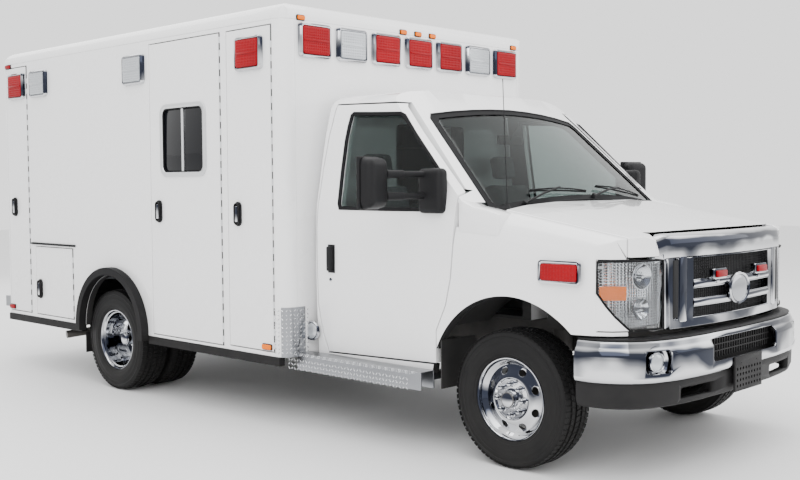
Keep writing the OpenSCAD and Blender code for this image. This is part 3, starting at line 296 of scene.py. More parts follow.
@cache
def painted_reflection_group() -> Tree:
    """Returns the group that paints a studio's reflection on chrome by where a surface points, built
    once.
    """
    group, nodes, links, start, end = new_group("painted_studio_reflection", ["Amount"], "Shade")
    facing_way = nodes.new("ShaderNodeNewGeometry")
    parts = nodes.new("ShaderNodeSeparateXYZ")
    links.new(facing_way.outputs["Normal"], parts.inputs[0])
    noise = nodes.new("ShaderNodeTexNoise")
    noise.inputs["Scale"].default_value = 3.5
    noise.inputs["Detail"].default_value = 1.5
    links.new(start.outputs["Vector"], noise.inputs["Vector"])
    wander = math_node(nodes, links, "MULTIPLY_ADD", noise.outputs["Fac"], 0.9, -0.43)
    rise = math_node(nodes, links, "ADD", parts.outputs["Z"], wander)
    share = math_node(nodes, links, "MULTIPLY_ADD", rise, 0.5, 0.5)
    # The ramp paints the reflection: faces pointing down stay fairly light like a reflected floor, level
    # and raised faces turn dark like the horizon and room, and faces pointing straight up turn light like
    # the ceiling.
    ramp = nodes.new("ShaderNodeValToRGB")
    stops = ramp.color_ramp.elements
    for place, shade in ((0.30, 0.30), (0.450, 0.22), (0.500, 0.82), (0.535, 0.99), (0.70, 0.98),
                         (0.80, 0.5)):
        stop = stops.new(place)
        stop.color = (shade, shade, shade, 1)
    stops[0].color = (0.35, 0.35, 0.35, 1)
    stops[-1].color = (0.08, 0.08, 0.08, 1)
    links.new(share, ramp.inputs["Fac"])
    links.new(math_node(nodes, links, "MULTIPLY", ramp.outputs["Color"], start.outputs["Amount"]),
              end.inputs["Shade"])
    return group


@cache
def height_group() -> Tree:
    """Returns the group that masks everything below a height, built once."""
    group, nodes, links, start, end = new_group("below_height", ["Height"], "Mask")
    parts = nodes.new("ShaderNodeSeparateXYZ")
    links.new(start.outputs["Vector"], parts.inputs[0])
    links.new(math_node(nodes, links, "LESS_THAN", parts.outputs["Z"], start.outputs["Height"]),
              end.inputs["Mask"])
    return group


@cache
def grain_group(kind: Grain) -> Tree:
    """Builds the group of one kind of relief once.

    Args:
        kind: Kind of relief.

    Returns:
        The group, whose output is a height.
    """
    group, nodes, links, start, end = new_group("relief_" + kind.value, ["Scale"], "Height")
    where, scale = start.outputs["Vector"], start.outputs["Scale"]

    def texture(node_name: str, **values: float) -> bpy.types.Node:
        """Adds a texture node on the group's vector and scale and returns it."""
        node = nodes.new(node_name)
        links.new(where, node.inputs["Vector"])
        links.new(scale, node.inputs["Scale"])
        for key, value in values.items():
            node.inputs[key].default_value = value
        return node

    def bands(direction: str) -> Socket:
        """Adds straight sine bands along one axis and returns their value."""
        node = texture("ShaderNodeTexWave")
        node.bands_direction = direction
        return node.outputs["Fac"]

    if kind in (Grain.FINE, Grain.CAST):
        height = texture("ShaderNodeTexNoise", Detail=4, Roughness=0.7).outputs["Fac"]
    elif kind is Grain.LEATHER:
        height = texture("ShaderNodeTexVoronoi").outputs["Distance"]
    elif kind is Grain.WEAVE:
        height = math_node(nodes, links, "MAXIMUM", bands("X"), bands("Z"))
        height = math_node(nodes, links, "ADD", height, bands("Y"))
    elif kind is Grain.CELLS:
        height = math_node(nodes, links, "MAXIMUM", bands("X"), bands("Z"))
    else:
        stretch = nodes.new("ShaderNodeMapping")
        stretch.inputs["Scale"].default_value = (1, 0.02, 1)
        links.new(where, stretch.inputs["Vector"])
        where = stretch.outputs["Vector"]
        height = texture("ShaderNodeTexNoise", Detail=3).outputs["Fac"]
    links.new(height, end.inputs["Height"])
    return group


CAB_PAINT = Finish("cab_paint", "cab_white", (0.89, 0.89, 0.895), 0.25, 0.04, coat=1.0,
                   grain=Grain.FINE, scale=260, depth=0.00002, mottle=0.02, soil=0.25)
BOX_PAINT = Finish("box_paint", "box_white", (0.89, 0.89, 0.895), 0.28, 0.05, coat=0.9,
                   grain=Grain.FINE, scale=220, depth=0.00003, mottle=0.02, soil=0.3)
# Chrome carries a painted studio reflection in its colour.
CHROME = Finish("chrome_plate", "grille_chrome", (0.88, 0.89, 0.91), 0.06, 0.03, metal=1.0,
                mottle=0.03, studio=1.0)
DARK_CHROME = Finish("chrome_shade", "grille_chrome", (0.42, 0.43, 0.45), 0.14, 0.05, metal=1.0,
                     mottle=0.1)
ALUMINIUM = Finish("satin_aluminium", "tread_plate", (0.72, 0.73, 0.74), 0.3, 0.08, metal=1.0,
                   grain=Grain.BRUSHED, scale=500, depth=0.00004, mottle=0.05)
TREAD_PLATE = Finish("tread_plate", "tread_plate", (0.33, 0.34, 0.36), 0.3, 0.09, metal=1.0,
                     grain=Grain.FINE, scale=400, depth=0.00008, mottle=0.3, soil=0.03, ior=1.15)
# The tread bars carry a weaker painted studio reflection in their colour.
TREAD_BAR = Finish("tread_bar", "tread_plate", (0.86, 0.87, 0.88), 0.18, 0.06, metal=1.0,
                   mottle=0.1, studio=0.5)
BLACK_PLASTIC = Finish("black_plastic", "trim_rubber", (0.009, 0.009, 0.010), 0.5, 0.08,
                       grain=Grain.LEATHER, scale=900, depth=0.00015, mottle=0.2, soil=0.05,
                       ior=1.26)
RUBBER = Finish("trim_rubber", "trim_rubber", (0.008, 0.008, 0.009), 0.6, 0.1, grain=Grain.FINE,
                scale=500, depth=0.0002, mottle=0.2, soil=0.06, ior=1.22)
TYRE_RUBBER = Finish("tyre_rubber", "tyre_black", (0.007, 0.007, 0.0075), 0.55, 0.08,
                     grain=Grain.FINE, scale=350, depth=0.0004, mottle=0.25, soil=0.03, ior=1.24)
CHASSIS = Finish("chassis_paint", "", (0.022, 0.022, 0.024), 0.5, 0.12, grain=Grain.CAST, scale=90,
                 depth=0.0005, mottle=0.3, soil=0.5)
IRON = Finish("engine_iron", "", (0.2, 0.2, 0.2), 0.55, 0.1, metal=0.8, grain=Grain.CAST, scale=120,
              depth=0.0008, mottle=0.3, soil=0.3)
EXHAUST_STEEL = Finish("exhaust_steel", "", (0.09, 0.085, 0.08), 0.45, 0.12, metal=0.7,
                       grain=Grain.CAST, scale=60, depth=0.0003, mottle=0.3, soil=0.1)
SCREEN_GLASS = Finish("screen_glass", "", (0.30, 0.35, 0.34), 0.0, 0.003, clear=1.0, mottle=0.02,
                      ior=1.22)
DOOR_GLASS = Finish("door_glass", "", (0.40, 0.45, 0.44), 0.0, 0.003, clear=1.0, mottle=0.02,
                    ior=1.2)
DARK_GLASS = Finish("dark_glass", "dark_glass", (0.004, 0.0045, 0.006), 0.05, 0.02, coat=0.25,
                    mottle=0.05, ior=1.2)
CLEAR_LENS = Finish("clear_lens", "lamp_clear", (0.93, 0.95, 0.96), 0.02, 0.01, clear=1.0,
                    mottle=0.01)
RED_LENS = Finish("red_lens", "lamp_red", (0.36, 0.0, 0.007), 0.3, 0.08, coat=0.12, mottle=0.6,
                  ior=1.2)
# The white lenses carry a weak painted studio reflection in their colour.
WHITE_LENS = Finish("white_lens", "lamp_clear", (0.62, 0.65, 0.68), 0.12, 0.05, metal=0.5, coat=0.6,
                    mottle=0.15, studio=0.3)
# Its glow is painted light that keeps the unlit amber lenses bright and orange.
AMBER_LENS = Finish("amber_lens", "lamp_red", (0.85, 0.17, 0.0), 0.2, 0.06, coat=0.1, mottle=0.4,
                    ior=1.2, glow=0.3)
# The reflectors carry a weaker painted studio reflection in their colour.
REFLECTOR = Finish("lamp_reflector", "grille_chrome", (0.90, 0.91, 0.93), 0.08, 0.04, metal=1.0,
                   grain=Grain.CELLS, scale=22, depth=0.006, mottle=0.2, studio=0.5)
CAB_TRIM = Finish("cab_trim", "cab_trim", (0.045, 0.045, 0.048), 0.6, 0.08, grain=Grain.LEATHER,
                  scale=700, depth=0.0003, mottle=0.12)
SEAT_CLOTH = Finish("seat_cloth", "seat_grey", (0.11, 0.115, 0.125), 0.85, 0.05, grain=Grain.WEAVE,
                    scale=420, depth=0.0005, mottle=0.2, sheen=0.4)
BENCH_VINYL = Finish("bench_vinyl", "bench_blue", (0.035, 0.07, 0.19), 0.4, 0.07,
                     grain=Grain.LEATHER, scale=650, depth=0.0003, mottle=0.15)
# Below 0.782 m the floor sheet turns near black.
FLOOR_SHEET = Finish("floor_sheet", "", (0.34, 0.35, 0.37), 0.45, 0.08, grain=Grain.FINE, scale=300,
                     depth=0.0002, mottle=0.25, under=(0.782, (0.012, 0.012, 0.013)))
LINER = Finish("arch_liner", "", (0.012, 0.012, 0.013), 0.6, 0.1, grain=Grain.CAST, scale=120,
               depth=0.0006, mottle=0.3, soil=0.1)
CABINET = Finish("cabinet_white", "", (0.66, 0.67, 0.67), 0.35, 0.06, grain=Grain.FINE, scale=500,
                 depth=0.0001, mottle=0.05)
# A painted shadow: near black for the gaps of hinges and the hollow behind the grille.
SEAM_SHADOW = Finish("seam_shadow", "trim_rubber", (0.05, 0.05, 0.052), 0.7, 0.05, mottle=0.2)


# ---- modelling helpers


def rest() -> None:
    """Leaves edit mode and deselects everything."""
    current = bpy.context.view_layer.objects.active
    if current and current.mode != "OBJECT":
        bpy.ops.object.mode_set(mode="OBJECT")
    bpy.ops.object.select_all(action="DESELECT")


def pick(piece: Piece) -> Piece:
    """Selects one object alone, makes it active and returns it."""
    rest()
    piece.select_set(True)
    bpy.context.view_layer.objects.active = piece
    return piece


@contextmanager
def editing(piece: Piece) -> Iterator[None]:
    """Enters edit mode with a whole piece selected, and leaves it at the end."""
    pick(piece)
    bpy.ops.object.mode_set(mode="EDIT")
    bpy.ops.mesh.select_all(action="SELECT")
    yield
    bpy.ops.object.mode_set(mode="OBJECT")


def select_faces(piece: Piece, chosen: FaceTest) -> None:
    """Selects the faces that a test chooses and stays in edit mode."""
    pick(piece)
    bpy.ops.object.mode_set(mode="EDIT")
    bpy.ops.mesh.select_mode(type="FACE")
    bpy.ops.mesh.select_all(action="DESELECT")
    bpy.ops.object.mode_set(mode="OBJECT")
    for face in piece.data.polygons:
        face.select = chosen(face)
    bpy.ops.object.mode_set(mode="EDIT")


def modify(piece: Piece, kind: str, **settings: object) -> Piece:
    """Adds a modifier and applies it.

    Args:
        piece: The object.
        kind: Type of the modifier.
        settings: Its settings.

    Returns:
        The same object.
    """
    pick(piece)
    made = piece.modifiers.new(kind.lower(), kind)
    for key, value in settings.items():
        setattr(made, key, value)
    bpy.ops.object.modifier_apply(modifier=made.name)
    return piece


def bevel(piece: Piece, width: float, segments: int = 3, angle: float = 30,
          clamp: bool = True) -> Piece:
    """Rounds the edges of a piece that turn by more than an angle and returns it."""
    return modify(piece, "BEVEL", width=width, segments=segments, limit_method="ANGLE",
                  angle_limit=math.radians(angle), use_clamp_overlap=clamp)


def settle(piece: Piece) -> Piece:
    """Applies an object's place, turn and scale to its mesh and returns it."""
    pick(piece)
    bpy.ops.object.transform_apply(location=True, rotation=True, scale=True)
    return piece


def smooth(piece: Piece, angle: float = 35) -> Piece:
    """Shades a piece smooth where it turns by less than an angle and returns it."""
    pick(piece)
    bpy.ops.object.shade_smooth_by_angle(angle=math.radians(angle))
    return piece


def level(piece: Piece) -> Piece:
    """Lets a piece's large faces set the normals, so that they shade flat, and returns it."""
    return modify(piece, "WEIGHTED_NORMAL", mode="FACE_AREA", weight=50, keep_sharp=True)


def placed(name: str, data: bpy.types.ID) -> Piece:
    """Makes an object from its data, adds it to the scene and returns it."""
    made = bpy.data.objects.new(name, data)
    bpy.context.scene.collection.objects.link(made)
    return made


def from_lists(name: str, points: Sequence[Point], faces: Sequence[Sequence[int]],
               edges: Sequence[Sequence[int]] = ()) -> Piece:
    """Makes an object from lists of points, faces and edges and returns it."""
    mesh = bpy.data.meshes.new(name)
    mesh.from_pydata([tuple(p) for p in points], list(edges), list(faces))
    return placed(name, mesh)


def tidy_mesh(piece: Piece, merge: float = 1e-5) -> Piece:
    """Merges doubled points, points the faces outwards and returns the piece."""
    with editing(piece):
        bpy.ops.mesh.remove_doubles(threshold=merge)
        bpy.ops.mesh.normals_make_consistent(inside=False)
    return piece


def block(name: str, low: Point, high: Point, edge: float = 0.004, segments: int = 3
          ) -> Piece:
    """Makes a box between two corners, with rounded edges.

    Args:
        name: Name of the piece.
        low: Its lowest corner.
        high: Its highest corner.
        edge: Radius of its edges, or 0.
        segments: Facets of each edge.

    Returns:
        The piece.
    """
    rest()
    a, b = Vector(low), Vector(high)
    bpy.ops.mesh.primitive_cube_add(size=1, location=(a + b) / 2)
    piece = bpy.context.object
    piece.name = name
    piece.scale = b - a
    settle(piece)
    if edge:
        bevel(piece, edge, segments)
    return smooth(piece)


def rod(name: str, start: Point, end: Point, radius: float, sides: int = 20, edge: float = 0.0
        ) -> Piece:
    """Makes a round bar between two points.

    Args:
        name: Name of the piece.
        start: Middle of its first end.
        end: Middle of its last end.
        radius: Its radius.
        sides: Number of its sides.
        edge: Radius of its end edges, or 0.

    Returns:
        The piece.
    """
    rest()
    a, b = Vector(start), Vector(end)
    bpy.ops.mesh.primitive_cylinder_add(
        vertices=sides, radius=radius, depth=(b - a).length, location=(a + b) / 2,
        rotation=(b - a).to_track_quat("Z", "Y").to_euler())
    piece = bpy.context.object
    piece.name = name
    settle(piece)
    if edge:
        bevel(piece, edge, 3, 50)
    return smooth(piece, 40)


def tube(name: str, points: Sequence[Point], radius: float, closed: bool = False, sides: int = 4
         ) -> Piece:
    """Makes a round tube along a line of points.

    Args:
        name: Name of the piece.
        points: The line.
        radius: Radius of the tube.
        closed: Whether the line is a loop.
        sides: Facets of a quarter of its round.

    Returns:
        The piece.
    """
    rest()
    curve = bpy.data.curves.new(name, "CURVE")
    curve.dimensions = "3D"
    curve.bevel_depth = radius
    curve.bevel_resolution = sides
    curve.use_fill_caps = not closed
    line = curve.splines.new("POLY")
    line.points.add(len(points) - 1)
    for node, p in zip(line.points, points):
        node.co = (*p, 1)
    line.use_cyclic_u = closed
    pick(placed(name, curve))
    bpy.ops.object.convert(target="MESH")
    return smooth(tidy_mesh(bpy.context.object), 50)


def lathe(name: str, profile: Outline, centre: Point, out: Point,
          steps: int = 96, angle: float = 30) -> Piece:
    """Spins a profile round an axis.

    Args:
        name: Name of the piece.
        profile: Points of radius and height along the axis. It is closed by itself when its
            first and last points are the same.
        centre: Where the height is 0.
        out: Direction of the axis.
        steps: Number of facets.
        angle: Angle above which an edge stays sharp.

    Returns:
        The piece.
    """
    points = [(r, 0.0, h) for r, h in profile]
    piece = from_lists(name, points, [], [(i, i + 1) for i in range(len(points) - 1)])
    with editing(piece):
        bpy.ops.mesh.spin(steps=steps, angle=2 * math.pi, center=(0, 0, 0), axis=(0, 0, 1))
    piece.data.transform(Vector(out).to_track_quat("Z", "Y").to_matrix().to_4x4())
    piece.data.transform(Matrix.Translation(centre))
    return smooth(tidy_mesh(piece), angle)


def lathe_pair(name: str, profile: Outline, centre: Point, out: Point, steps: int) -> list[Piece]:
    """Spins a profile at a place on the left, as lathe() does, and at its mirror place.

    Args:
        name: Name of the pieces.
        profile: Points of radius and height along the axis.
        centre: Where the height is 0 on the left.
        out: Direction of the axis on the left.
        steps: Number of facets.

    Returns:
        The right piece and the left one.
    """
    (x, y, z), (a, b, c) = centre, out
    return [lathe(name, profile, (side * x, y, z), (side * a, b, c), steps) for side, _ in SIDES]


def prism(name: str, outline: Sequence[Point], push: Point, edge: float = 0.0) -> Piece:
    """Makes a flat outline and extrudes it.

    Args:
        name: Name of the piece.
        outline: Its points, in one plane.
        push: How far and where it is extruded.
        edge: Radius of its edges, or 0.

    Returns:
        The piece.
    """
    piece = from_lists(name, outline, [range(len(outline))])
    with editing(piece):
        bpy.ops.mesh.extrude_region_move(TRANSFORM_OT_translate={"value": tuple(push)})
    tidy_mesh(piece)
    if edge:
        bevel(piece, edge, 2)
    return smooth(piece)


def rounded(width: float, height: float, radius: float, steps: int = 6) -> Outline:
    """Returns the outline of a rectangle with round corners about its middle."""
    points = []
    for turn, (sx, sy) in enumerate(((1, 1), (-1, 1), (-1, -1), (1, -1))):
        for i in range(steps + 1):
            a = math.pi / 2 * (turn + i / steps)
            points.append((sx * (width / 2 - radius) + radius * math.cos(a),
                           sy * (height / 2 - radius) + radius * math.sin(a)))
    return points


def slab(name: str, size: Point, low: float, thick: float, edge: float = 0.0) -> Piece:
    """Makes a plate with round corners about the origin, facing along z.

    Args:
        name: Name of the piece.
        size: Its width, its height, its corners' radius and, if wanted, their steps.
        low: Height of its lower face.
        thick: Its thickness.
        edge: Radius of its edges, or 0.

    Returns:
        The piece.
    """
    return prism(name, [(x, y, low) for x, y in rounded(*size)], (0, 0, thick), edge)


def prism_grid(across: int, up: int, width: float, height: float, low: float, rise: float) -> Piece:
    """Makes a lens's grid of small pyramids about the origin, facing along z.

    Args:
        across: Number of lines across.
        up: Number of lines up.
        width: Width of the grid.
        height: Height of the grid.
        low: Height of the pyramids' feet.
        rise: How far their tips rise.

    Returns:
        The grid.
    """
    rest()
    bpy.ops.mesh.primitive_grid_add(x_subdivisions=across, y_subdivisions=up, size=1,
                                    location=(0, 0, low))
    grid = bpy.context.object
    grid.scale = (width, height, 1)
    settle(grid)
    with editing(grid):
        bpy.ops.mesh.poke(offset=rise)
    return grid


def loft(name: str, rings: Sequence[Sequence[Point]], angle: float) -> Piece:
    """Joins closed sections into one closed skin.

    Args:
        name: Name of the piece.
        rings: The sections in order, all with the same number of points.
        angle: Angle above which an edge stays sharp.

    Returns:
        The piece.
    """
    n = len(rings[0])
    faces = []
    for base in range(0, n * (len(rings) - 1), n):
        for k in range(n):
            a, b = base + k, base + (k + 1) % n
            faces.append((a, b, b + n, a + n))
    last = n * (len(rings) - 1)
    faces += [tuple(reversed(range(n))), tuple(range(last, last + n))]
    points = [point for ring in rings for point in ring]
    return smooth(tidy_mesh(from_lists(name, points, faces), 1e-6), angle)


def facing(centre: Point, out: Point, up: Point = (0, 0, 1)) -> Matrix:
    """Returns the matrix from a face's own x, y and outward z to the vehicle's frame."""
    z = Vector(out).normalized()
    x = Vector(up).cross(z).normalized()
    y = z.cross(x)
    turn = Matrix((x, y, z)).transposed().to_4x4()
    return Matrix.Translation(centre) @ turn


def moved(piece: Piece, matrix: Matrix) -> Piece:
    """Transforms a piece's mesh, keeps its faces outwards and returns it."""
    piece.data.transform(matrix)
    if matrix.determinant() < 0:
        piece.data.flip_normals()
    return piece


def copied(piece: Piece, matrix: Matrix) -> Piece:
    """Returns a copy of a piece with its own mesh, moved by a matrix."""
    return moved(placed(piece.name, piece.data.copy()), matrix)


MIRROR = Matrix.Diagonal((-1, 1, 1, 1))


def join(name: str, pieces: Sequence[Piece]) -> Piece:
    """Joins pieces into the first one, names it and returns it."""
    rest()
    for piece in pieces:
        piece.select_set(True)
    bpy.context.view_layer.objects.active = pieces[0]
    if len(pieces) > 1:
        bpy.ops.object.join()
    pieces[0].name = name
    return pieces[0]


def repeated(name: str, seed: Piece, places: Sequence[Matrix]) -> Piece:
    """Copies a small piece to many places, in one mesh.

    Args:
        name: Name of the result.
        seed: The piece that repeats. It is removed.
        places: One matrix for each copy.

    Returns:
        The joined copies.
    """
    points = [v.co.copy() for v in seed.data.vertices]
    faces = [tuple(f.vertices) for f in seed.data.polygons]
    all_points, all_faces = [], []
    for matrix in places:
        base = len(all_points)
        all_points += [matrix @ p for p in points]
        flip = matrix.determinant() < 0
        all_faces += [[base + i for i in (reversed(f) if flip else f)] for f in faces]
    bpy.data.objects.remove(seed)
    return from_lists(name, all_points, all_faces)


def carve(piece: Piece, cutter: Piece) -> Piece:
    """Cuts one piece from another, removes the cutter and returns what is left."""
    modify(piece, "BOOLEAN", operation="DIFFERENCE", object=cutter, solver="EXACT")
    bpy.data.objects.remove(cutter)
    return piece


def finished(pieces: Piece | list[Piece], name: str, finish: Finish, *replaced: str,
             body: str = "root", slot: str = "") -> Piece:
    """Joins, names, dresses and mounts finished pieces.

    Args:
        pieces: The piece, or the pieces that make it up.
        name: Its name.
        finish: Its finish, unless it already has materials.
        replaced: CAD nodes that it stands for.
        body: The body that it rides on.
        slot: Its material slot in the record, if it isn't the finish's own. It is not used.

    Returns:
        The piece.
    """
    piece = join(name, pieces) if isinstance(pieces, list) else pieces
    piece.name = name
    if not piece.data.materials:
        piece.data.materials.append(finish.build())
    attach(piece, body)
    if replaced:
        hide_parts(*replaced)
    log.info("%s: %d faces on %s", name, len(piece.data.polygons), body)
    return piece


def paint(piece: Piece, base: Finish,
          *others: tuple[Finish, FaceTest]) -> Piece:
    """Gives a piece several finishes.

    Args:
        piece: The piece.
        base: Finish of the faces that no test chooses.
        others: Pairs of a finish and the test of its faces. The last test that fits counts.

    Returns:
        The piece.
    """
    piece.data.materials.clear()
    for finish in (base, *(pair[0] for pair in others)):
        piece.data.materials.append(finish.build())
    for face in piece.data.polygons:
        face.material_index = 0
        for number, (_, test) in enumerate(others):
            if test(face):
                face.material_index = number + 1
    return piece


def turned_in(face: Face) -> bool:
    """Tells whether a face of a side wall, roof or floor looks into the vehicle."""
    n, c = face.normal, face.center
    return abs(n.x) > 0.5 and n.x * c.x < 0 or n.z < -0.5 or n.z > 0.5 and c.z < 1.0


def arch_test(distance: float, radius: float, wall: float) -> FaceTest:
    """Makes the test for faces inside a wheel arch.

    Args:
        distance: How far the wheel is behind the front axle.
        radius: Radius of the arch.
        wall: Half width of the body there.

    Returns:
        The test.
    """

    def inside(face: Face) -> bool:
        """Tells whether a face lines the arch."""
        c, n = face.center, face.normal
        to_axle = Vector((0, along(distance) - c.y, AXLE_Z - c.z))
        near = to_axle.length < radius + 0.02
        return near and (to_axle.normalized().dot(n) > 0.5 or abs(c.x) < wall - 0.02)

    return inside


def skin(node: str, width: float = 0.003, segments: int = 2, angle: float = 40,
         flat: float = 0.6) -> Piece:
    """Copies a CAD node, merges its triangles into flat faces and rounds its edges.

    Args:
        node: Name of the node.
        width: Radius of its edges.
        segments: Facets of each edge.
        angle: Angle above which an edge is rounded.
        flat: Angle below which faces are merged, or 0.

    Returns:
        The copy.
    """
    piece = placed(node + "_skin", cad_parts[node].data.copy())
    piece.data.materials.clear()
    pick(piece)
    bpy.ops.mesh.customdata_custom_splitnormals_clear()
    with editing(piece):
        bpy.ops.mesh.remove_doubles(threshold=2e-5)
        if flat:
            bpy.ops.mesh.dissolve_limited(angle_limit=math.radians(flat))
    if width:
        bevel(piece, width, segments, angle, clamp=False)
    return level(smooth(piece, 40)) if flat else smooth(piece, 40)


def dress(node: str, finish: Finish) -> None:
    """Gives a CAD node that stays visible a better material."""
    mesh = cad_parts[node].data
    mesh.materials.clear()
    mesh.materials.append(finish.build())


# ---- wheels


@dataclass
class Tyre:
    """One tyre with grooves, ribs and tread blocks.

    Attributes:
        outer: Outside radius.
        width: Width over the side walls.
        rim: Radius at the rim's lip.
        pitch_count: Number of tread blocks round it.
    """

    outer: float = 0.370
    width: float = 0.223
    rim: float = 0.220
    pitch_count: int = 72

    def profile(self) -> Outline:
        """Returns the closed section, as points of radius and offset."""
        half = self.width / 2
        bead = ((-0.012, 0.030), (0.002, 0.020), (0.006, 0.012), (0.014, 0.007), (0.018, 0.0065),
                (0.021, 0.0035), (0.040, 0.001), (0.058, 0.0), (0.062, 0.0018), (0.084, 0.002),
                (0.088, 0.0045))
        shoulder = ((0.040, 0.0065), (0.036, 0.0035), (0.022, 0.008), (0.010, 0.016),
                    (0.0075, 0.022))
        side = [(self.rim + rise, half - depth) for rise, depth in bead]
        side += [(self.outer - drop, half - depth) for drop, depth in shoulder]
        floor = self.outer - 0.0085
        top = [(floor, half - 0.030), (floor, -half + 0.030)]
        other = [(r, -h) for r, h in reversed(side)]
        inner = [(self.rim + 0.03, -half + 0.02), (self.outer - 0.03, -half + 0.03),
                 (self.outer - 0.03, half - 0.03), (self.rim + 0.03, half - 0.02)]
        return side + top + other + inner + side[:1]

    def tread(self) -> Piece:
        """Returns the rows of tread blocks about the origin, their axis along z."""
        step = 2 * math.pi / self.pitch_count
        arc = self.outer * step
        rows = []
        rows_at = ((-0.086, 0.036, 0.74, 0.0), (-0.045, 0.026, 0.80, 0.35),
                   (0.0, 0.030, 0.84, -0.3), (0.045, 0.026, 0.80, 0.35),
                   (0.086, 0.036, 0.74, 0.0))
        for row, (offset, width, share, slant) in enumerate(rows_at):
            low = self.outer - 0.012
            drop = 0.0035 if abs(offset) > 0.06 else 0.0
            seed = block("tread_seed", (low, -arc * share / 2, -width / 2),
                         (self.outer - 0.0006 - drop, arc * share / 2, width / 2), 0)
            for v in seed.data.vertices:
                v.co.y += v.co.z * slant
                if drop and v.co.z * offset > 0 and v.co.x > low + 0.001:
                    v.co.x -= 0.004
            seed.data.transform(Matrix.Translation((0, 0, offset)))
            rows.append(repeated("tread_row", seed, [
                Matrix.Rotation(step * (i + 0.5 * (row % 2)), 4, "Z")
                for i in range(self.pitch_count)]))
        return join("tread", rows)

    def build(self) -> Piece:
        """Returns the tyre about the origin, its axis along z."""
        body = lathe("tyre", self.profile(), (0, 0, 0), (0, 0, 1), 96, 28)
        return join("tyre", [body, self.tread()])


@dataclass
class WheelCover:
    """A chromed wheel with hand holes, covered lug nuts and a hub cap.

    Attributes:
        lip: Radius of the outer lip.
        lip_out: How far the lip's plane lies outside the tyre's middle.
        dish: How far the disc's mounting face lies outside the tyre's middle.
        holes: Number of hand holes.
        hub_out: How far the hub cap stands out of the mounting face.
    """

    lip: float = 0.2215
    lip_out: float = 0.0985
    dish: float = 0.074
    holes: int = 8
    hub_out: float = 0.052

    def profile(self) -> Outline:
        """Returns the closed section of the barrel and disc."""
        lip, out, dish = self.lip, self.lip_out, self.dish
        rim = ((0.0, 0.010), (0.0, 0.002), (0.003, 0.0), (0.008, 0.001), (0.013, 0.008),
               (0.016, 0.020), (0.024, 0.026))
        face = [(lip - inwards, out - depth) for inwards, depth in rim]
        if dish > 0:
            disc = [(lip - 0.033, 0.060), (lip - 0.040, 0.055), (0.165, 0.058)]
            steps = ((0.140, -0.002), (0.122, 0.008), (0.112, 0.009), (0.104, 0.0), (0.052, 0.0))
        else:
            disc = [(lip - 0.030, 0.040), (lip - 0.034, -0.02), (lip - 0.038, dish + 0.05),
                    (lip - 0.050, dish + 0.028)]
            steps = ((0.150, 0.020), (0.130, 0.012), (0.118, 0.012), (0.110, 0.004), (0.052, 0.004))
        disc += [(radius, dish + height) for radius, height in steps]
        back = [(r, h - 0.006) for r, h in reversed(disc)]
        well = ((0.028, min(dish, 0.0) + 0.03), (0.028, -0.08), (0.012, -0.096), (0.016, -0.088),
                (0.016, -0.06), (0.020, -0.05), (0.020, 0.05), (0.014, 0.07), (0.012, out - 0.018))
        barrel = [(lip - inwards, height) for inwards, height in well]
        return face + disc + back + barrel + face[:1]

    def build(self) -> Piece:
        """Returns the wheel about the origin, outwards being +z."""
        disc = lathe("wheel", self.profile(), (0, 0, 0), (0, 0, 1), 96, 30)
        level = self.dish if self.dish > 0 else self.dish + 0.016
        cutters = []
        for i in range(self.holes):
            a = 2 * math.pi * (i + 0.5) / self.holes
            hole = rod("hole", (0.153, 0, level - 0.09), (0.153, 0, level + 0.06), 0.0165, 24)
            for v in hole.data.vertices:
                v.co.y *= 1.35
            cutters.append(moved(hole, Matrix.Rotation(a, 4, "Z")))
        carve(disc, join("holes", cutters))
        bevel(disc, 0.0016, 2, 48, clamp=False)
        smooth(disc, 34)
        nut = lathe("nut", [(0.0, 0.040), (0.006, 0.040), (0.011, 0.037), (0.0135, 0.031),
                            (0.0145, 0.006), (0.019, 0.002), (0.019, -0.002)], (0.082, 0, level),
                    (0, 0, 1), 16, 40)
        nuts = [copied(nut, Matrix.Rotation(2 * math.pi * i / 8, 4, "Z")) for i in range(8)]
        bpy.data.objects.remove(nut)
        top = level + self.hub_out
        hub = lathe("hub", [(0.0, top), (0.024, top - 0.001), (0.036, top - 0.006),
                            (0.043, top - 0.016), (0.046, top - 0.034), (0.047, level + 0.006),
                            (0.056, level + 0.002), (0.056, level - 0.002)], (0, 0, 0),
                    (0, 0, 1), 64, 28)
        ring = lathe("hub_ring", [(0.049, top - 0.022), (0.0505, top - 0.020), (0.049, top - 0.018)],
                     (0, 0, 0), (0, 0, 1), 64)
        return join("wheel", [disc, hub, ring] + nuts)


